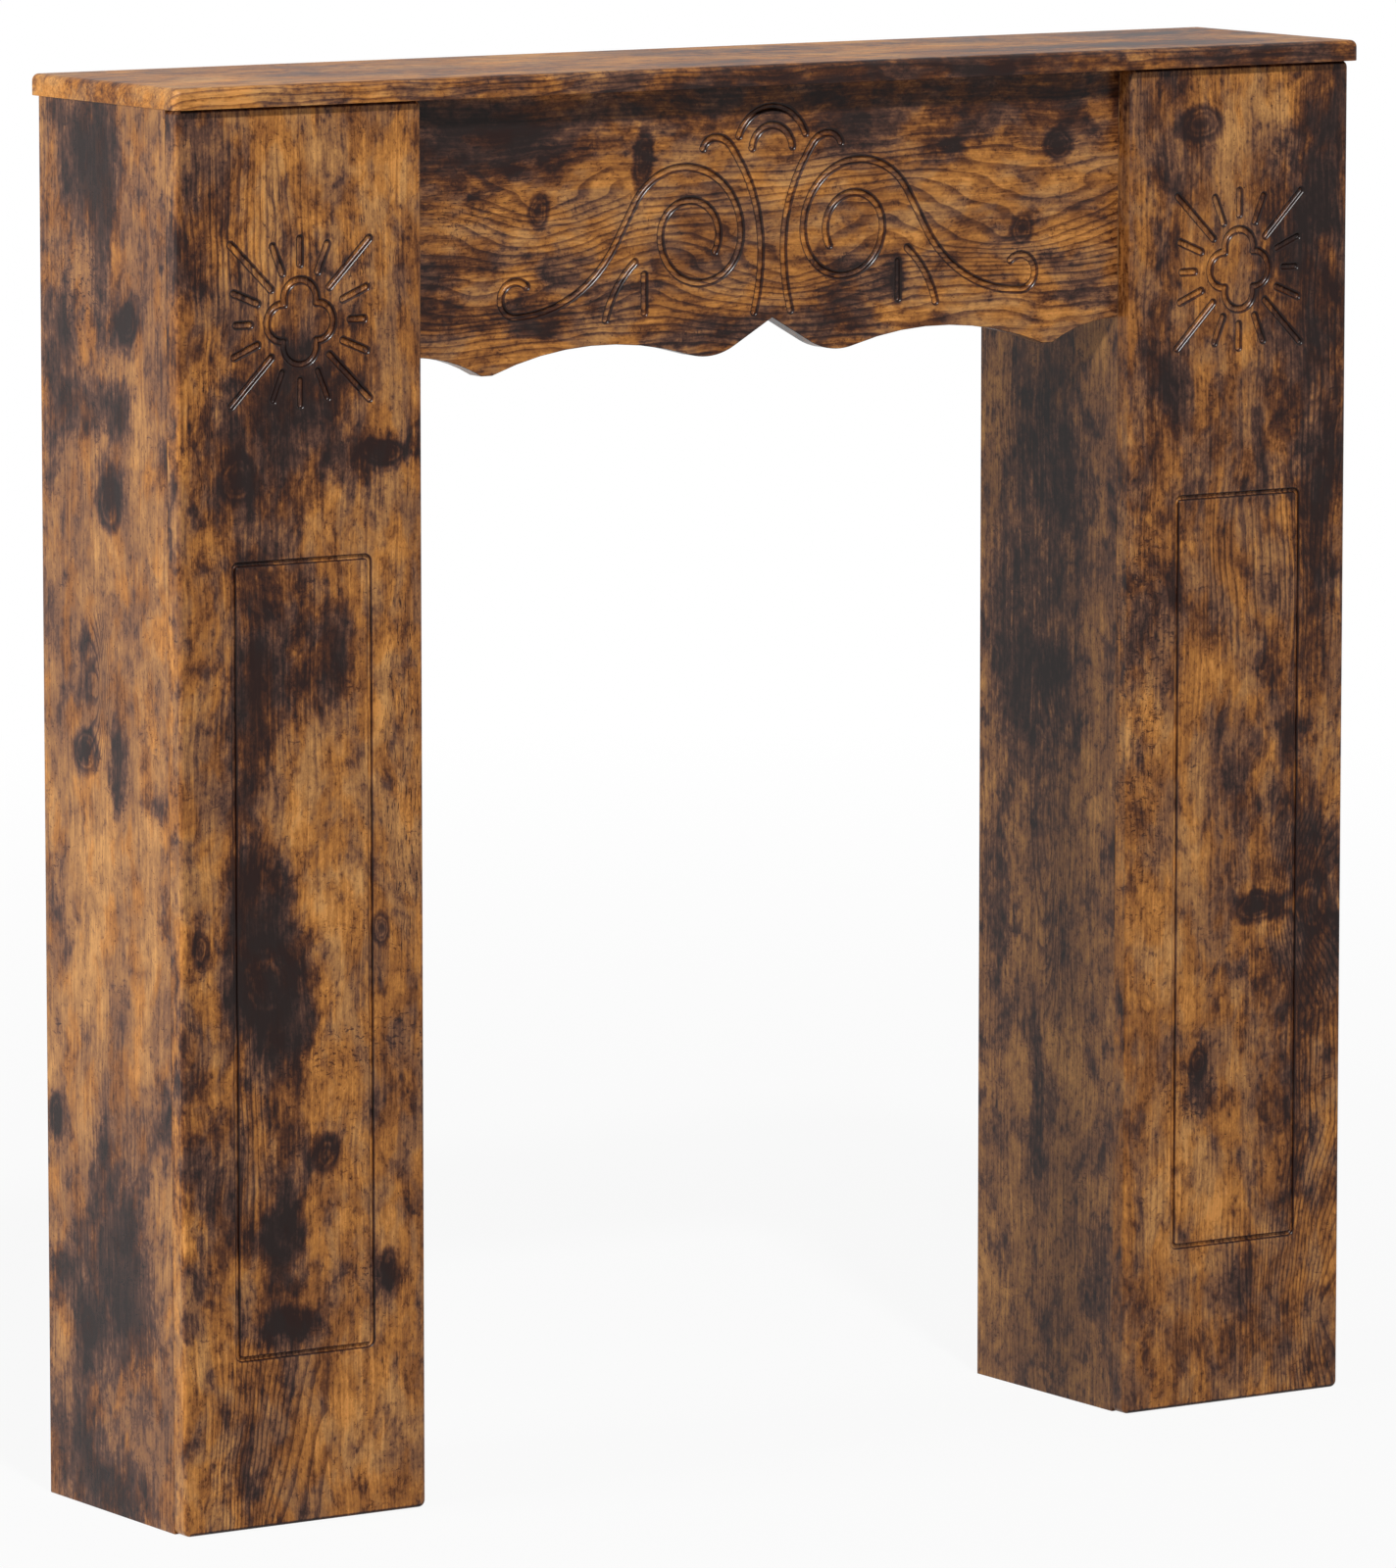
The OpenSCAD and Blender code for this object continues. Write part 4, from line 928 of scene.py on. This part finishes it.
def studio():
    """Pale floor, plain world and soft lamps."""
    scene = bpy.context.scene
    scene.view_settings.view_transform = "Standard"
    world = bpy.data.worlds.new("plain studio")
    scene.world = world
    world.use_nodes = True
    tree = world.node_tree
    light = tree.nodes["Background"]
    light.inputs["Color"].default_value = (1, 1, 1, 1)
    light.inputs["Strength"].default_value = WORLD_LIGHT
    seen = add(tree, "Background", {"Color": (1, 1, 1, 1), "Strength": 1})
    mix = add(tree, "MixShader", {0: looking(tree), 1: light.outputs[0], 2: seen})
    tree.links.new(mix, tree.nodes["World Output"].inputs["Surface"])

    bm = bmesh.new()
    bmesh.ops.create_grid(bm, x_segments=1, y_segments=1, size=FLOOR_REACH)
    floor = bpy.data.objects.new("floor", bm_mesh(bm))
    bpy.context.collection.objects.link(floor)
    pale, tree, matt = started("pale studio floor")
    matt.inputs["Base Color"].default_value = srgb("c4c4c4")
    matt.inputs["Roughness"].default_value = 0.9
    glow = add(tree, "Emission", {"Color": (1, 1, 1, 1), "Strength": 1})
    away = add(tree, "VectorMath", {0: add(tree, "TexCoord", out=3)}, 1, operation="LENGTH")
    fade = add(tree, "MapRange", {0: away, 1: FADE_FROM, 2: FADE_TO, 3: FLOOR_GLOW, 4: 1})
    share = add(tree, "Math", {0: looking(tree), 1: fade}, operation="MULTIPLY")
    mix = add(tree, "MixShader", {0: share, 1: matt.outputs[0], 2: glow})
    tree.links.new(mix, tree.nodes["Material Output"].inputs["Surface"])
    floor.data.materials.append(pale)

    for name, place, aim, size, watts in LAMPS:
        data = bpy.data.lights.new(name, "AREA")
        data.size = size
        data.energy = watts
        lamp = bpy.data.objects.new(name, data)
        lamp.location = place
        lamp.rotation_euler = (Vector(aim) - Vector(place)).to_track_quat("-Z", "Y").to_euler()
        lamp.visible_diffuse = name != HIGHLIGHT
        bpy.context.collection.objects.link(lamp)


# Where the photograph was taken from, and its focal length in pixels of the 1600 pixel height. Its
# uprights are parallel, which takes a large shift; this camera looks down instead, the best fit
# without one.
CAMERA_PLACE = (-3.9298, -5.9765, 1.4433)
CAMERA_YAW = 33.237
CAMERA_DOWN = 7.684
FOCAL_PX = 10264.4
IMAGE_H = 1600
SENSOR_H = 36
CLIP_END = 100


def camera():
    """The photograph's point of view."""
    data = bpy.data.cameras.new("camera")
    data.sensor_fit = "VERTICAL"
    data.sensor_height = SENSOR_H
    data.lens = FOCAL_PX * SENSOR_H / IMAGE_H
    data.clip_end = CLIP_END
    view = bpy.data.objects.new("camera", data)
    view.location = CAMERA_PLACE
    view.rotation_euler = (math.radians(90 - CAMERA_DOWN), 0, math.radians(-CAMERA_YAW))
    bpy.context.collection.objects.link(view)
    bpy.context.scene.camera = view


camera()
studio()
shelf()
header()
for side in ("left", "right"):
    front_board(side)
    for part in ("outer_side", "inner_side", "top_rail", "bottom_rail"):
        plain_board(f"{side}_{part}")
plain_board("back_rail")

# The fittings keep their CAD shapes and get their real finishes.
FITTINGS = {"cams": cast_zinc(), "bolts": plated_steel(), "dowels": beech()}
for name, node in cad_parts.items():
    kind = name.rsplit("_", 1)[-1]
    if kind in FITTINGS:
        for held in node.material_slots:
            held.material = FITTINGS[kind]
